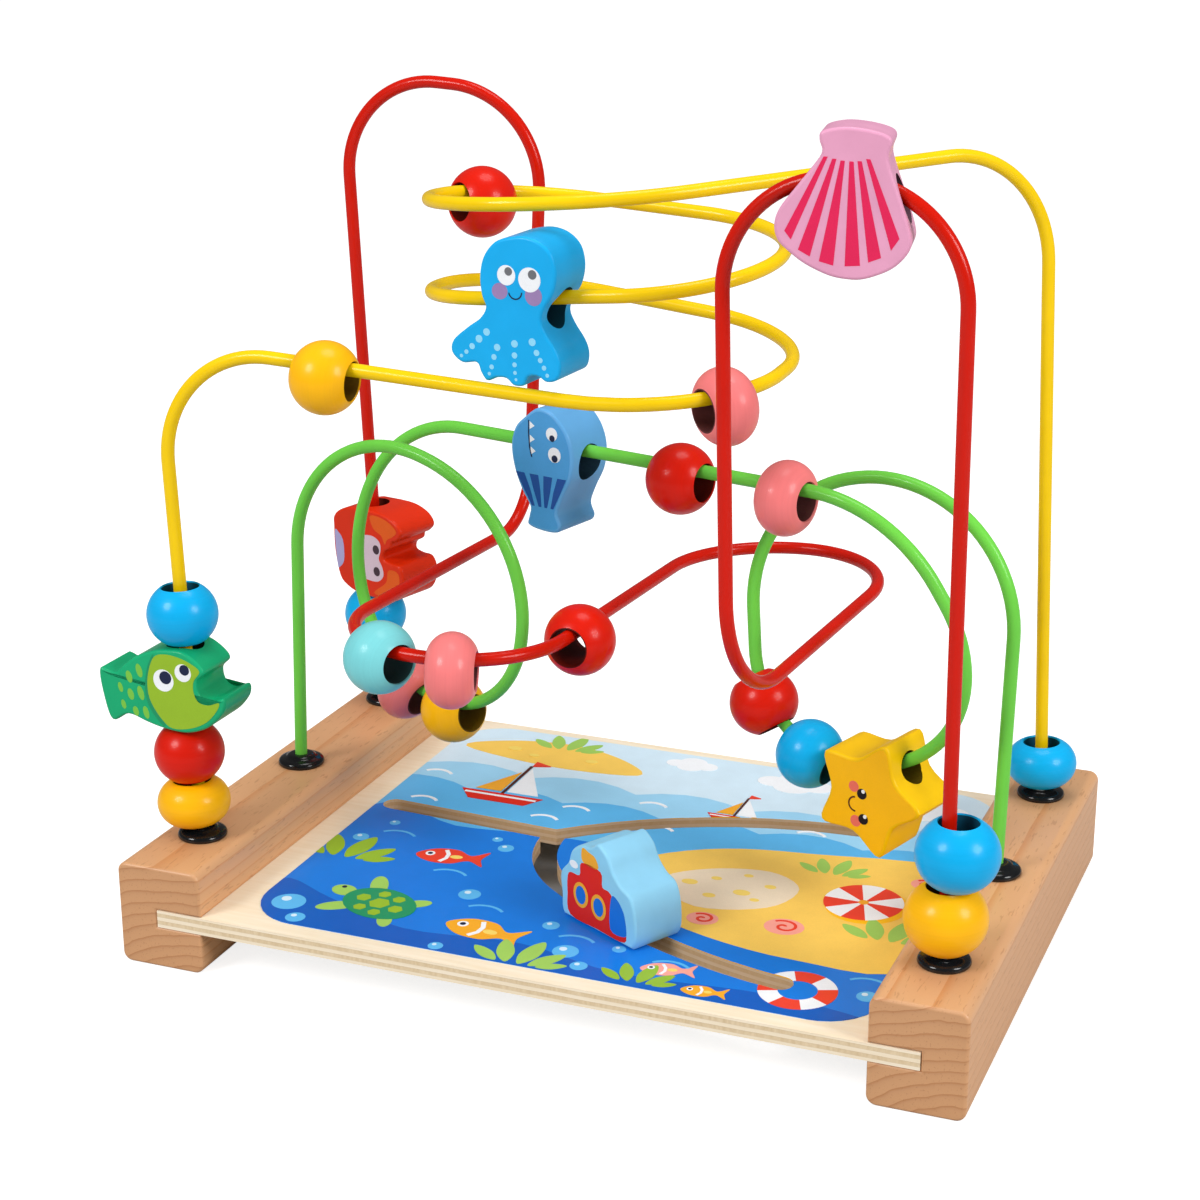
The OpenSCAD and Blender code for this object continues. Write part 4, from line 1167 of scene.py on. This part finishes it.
def panel_column():
    """The panel's shape with its track, drawn out upwards past the print."""
    made = bmesh.new()
    made.from_mesh(frame["nodes"]["panel"].data)
    bmesh.ops.remove_doubles(made, verts=made.verts, dist=WELD)
    middle = (panel_low.z + panel_high.z) / 2
    for v in made.verts:
        v.co.z = panel_low.z if v.co.z < middle else panel_high.z + COLUMN_RISE
    return new_piece("panel_column", made, [])


def print_panel():
    """One thin plate per motif, kept to the print's region and cut out where the track runs."""
    made = bmesh.new()
    names = sorted({row[0] for row in art})
    top = panel_high.z / MM
    for colour, outline, layer in art:
        kept = clipped(outline, print_region) if layer else outline
        low, high = top + PRINT_BASE, top + PRINT_STEP * (layer + 1)
        plate(made, kept, low, high, lambda p, h: Vector((p.x, p.y, h)) * MM, names.index(colour))
    piece = new_piece("panel_print", made, [inks[n] for n in names])
    combine(piece, panel_column(), "INTERSECT")
    piece.data.shade_flat()
    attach(piece, "base")


print_panel()

# Floor, background and light
FLOOR_SIZE = 6.0
FLOOR_LIFT = 0.8
FLOOR_GREYS = ("#b4b4b4", "#bcbcbc")
FLOOR_NOISE_SCALE = 3
# Painted shade: a box under the panel where the floor's white lift fades out.
SHADE_Y = 20 * MM
SHADE_HALF = (112 * MM, 62 * MM)
SHADE_FADE = (0.8, 1.45)
WORLD_LIGHT = 0.55
WORLD_MIRRORED = 0.12


def seen_directly(graph):
    """1 where the camera looks at a surface, also through glass, 0 for its light on other things."""
    path = graph.add("LightPath").outputs
    return graph.math("MAXIMUM", path["Is Camera Ray"], path["Is Transmission Ray"])


def make_floor():
    """Pale floor that the camera sees as white, except under the panel, where a painted shade fades its white lift
    out and leaves the floor's real shading.
    """
    look = Look("floor_white")
    soft = look.noise(look.place(), FLOOR_NOISE_SCALE)
    parts = look.split(look.place())
    # Painted shade: the white lift fades out inside the box under the panel.
    beside = look.math("DIVIDE", look.math("ABSOLUTE", parts["X"]), SHADE_HALF[0])
    behind = look.math("ABSOLUTE", look.math("SUBTRACT", parts["Y"], SHADE_Y))
    extent = look.math("MAXIMUM", beside, look.math("DIVIDE", behind, SHADE_HALF[1]))
    soft_edge = {0: extent, 1: SHADE_FADE[0], 2: SHADE_FADE[1]}
    open_floor = look.add("MapRange", soft_edge, interpolation_type="SMOOTHSTEP").outputs[0]
    lit = look.times(seen_directly(look), open_floor)
    white = look.finish(
        Base_Color=look.ramp(soft, (0.0, linear(FLOOR_GREYS[0])), (1.0, linear(FLOOR_GREYS[1]))),
        Roughness=0.9,
        Specular_IOR_Level=0.0,
        Emission_Color=(1, 1, 1, 1),
        Emission_Strength=look.times(lit, FLOOR_LIFT),
    )
    made = bmesh.new()
    bmesh.ops.create_grid(made, x_segments=1, y_segments=1, size=FLOOR_SIZE)
    floor = new_piece("floor", made, [white])


def make_world():
    """White to the camera, plain light on the object and a dimmer mirror image in gloss."""
    world = bpy.data.worlds.new("studio")
    world.use_nodes = True
    bpy.context.scene.world = world
    graph = Graph(world.node_tree)
    glossy = graph.add("LightPath").outputs["Is Glossy Ray"]
    around = graph.span(glossy, WORLD_LIGHT, WORLD_MIRRORED)
    strength = graph.span(seen_directly(graph), around, 1.0)
    graph.fill(graph.tree.nodes["Background"], {"Color": (1, 1, 1, 1), "Strength": strength})


LAMP_AIM = Vector((0, 0, 0.12))
LAMPS = [
    ("key", (-0.85, -1.3, 1.2), 0.7, 17.5),
    ("fill", (1.4, -0.4, 0.9), 0.7, 13),
    ("top", (0.1, 0.2, 1.7), 0.8, 7),
]


def make_lamps():
    for name, place, size, power in LAMPS:
        data = bpy.data.lights.new(name, "AREA")
        data.shape, data.size, data.energy = "DISK", size, power
        lamp = bpy.data.objects.new(name, data)
        lamp.location = place
        lamp.rotation_euler = (Vector(place) - LAMP_AIM).to_track_quat("Z", "Y").to_euler()
        bpy.context.scene.collection.objects.link(lamp)


make_floor()
make_world()
make_lamps()
bpy.context.scene.view_settings.view_transform = "Standard"
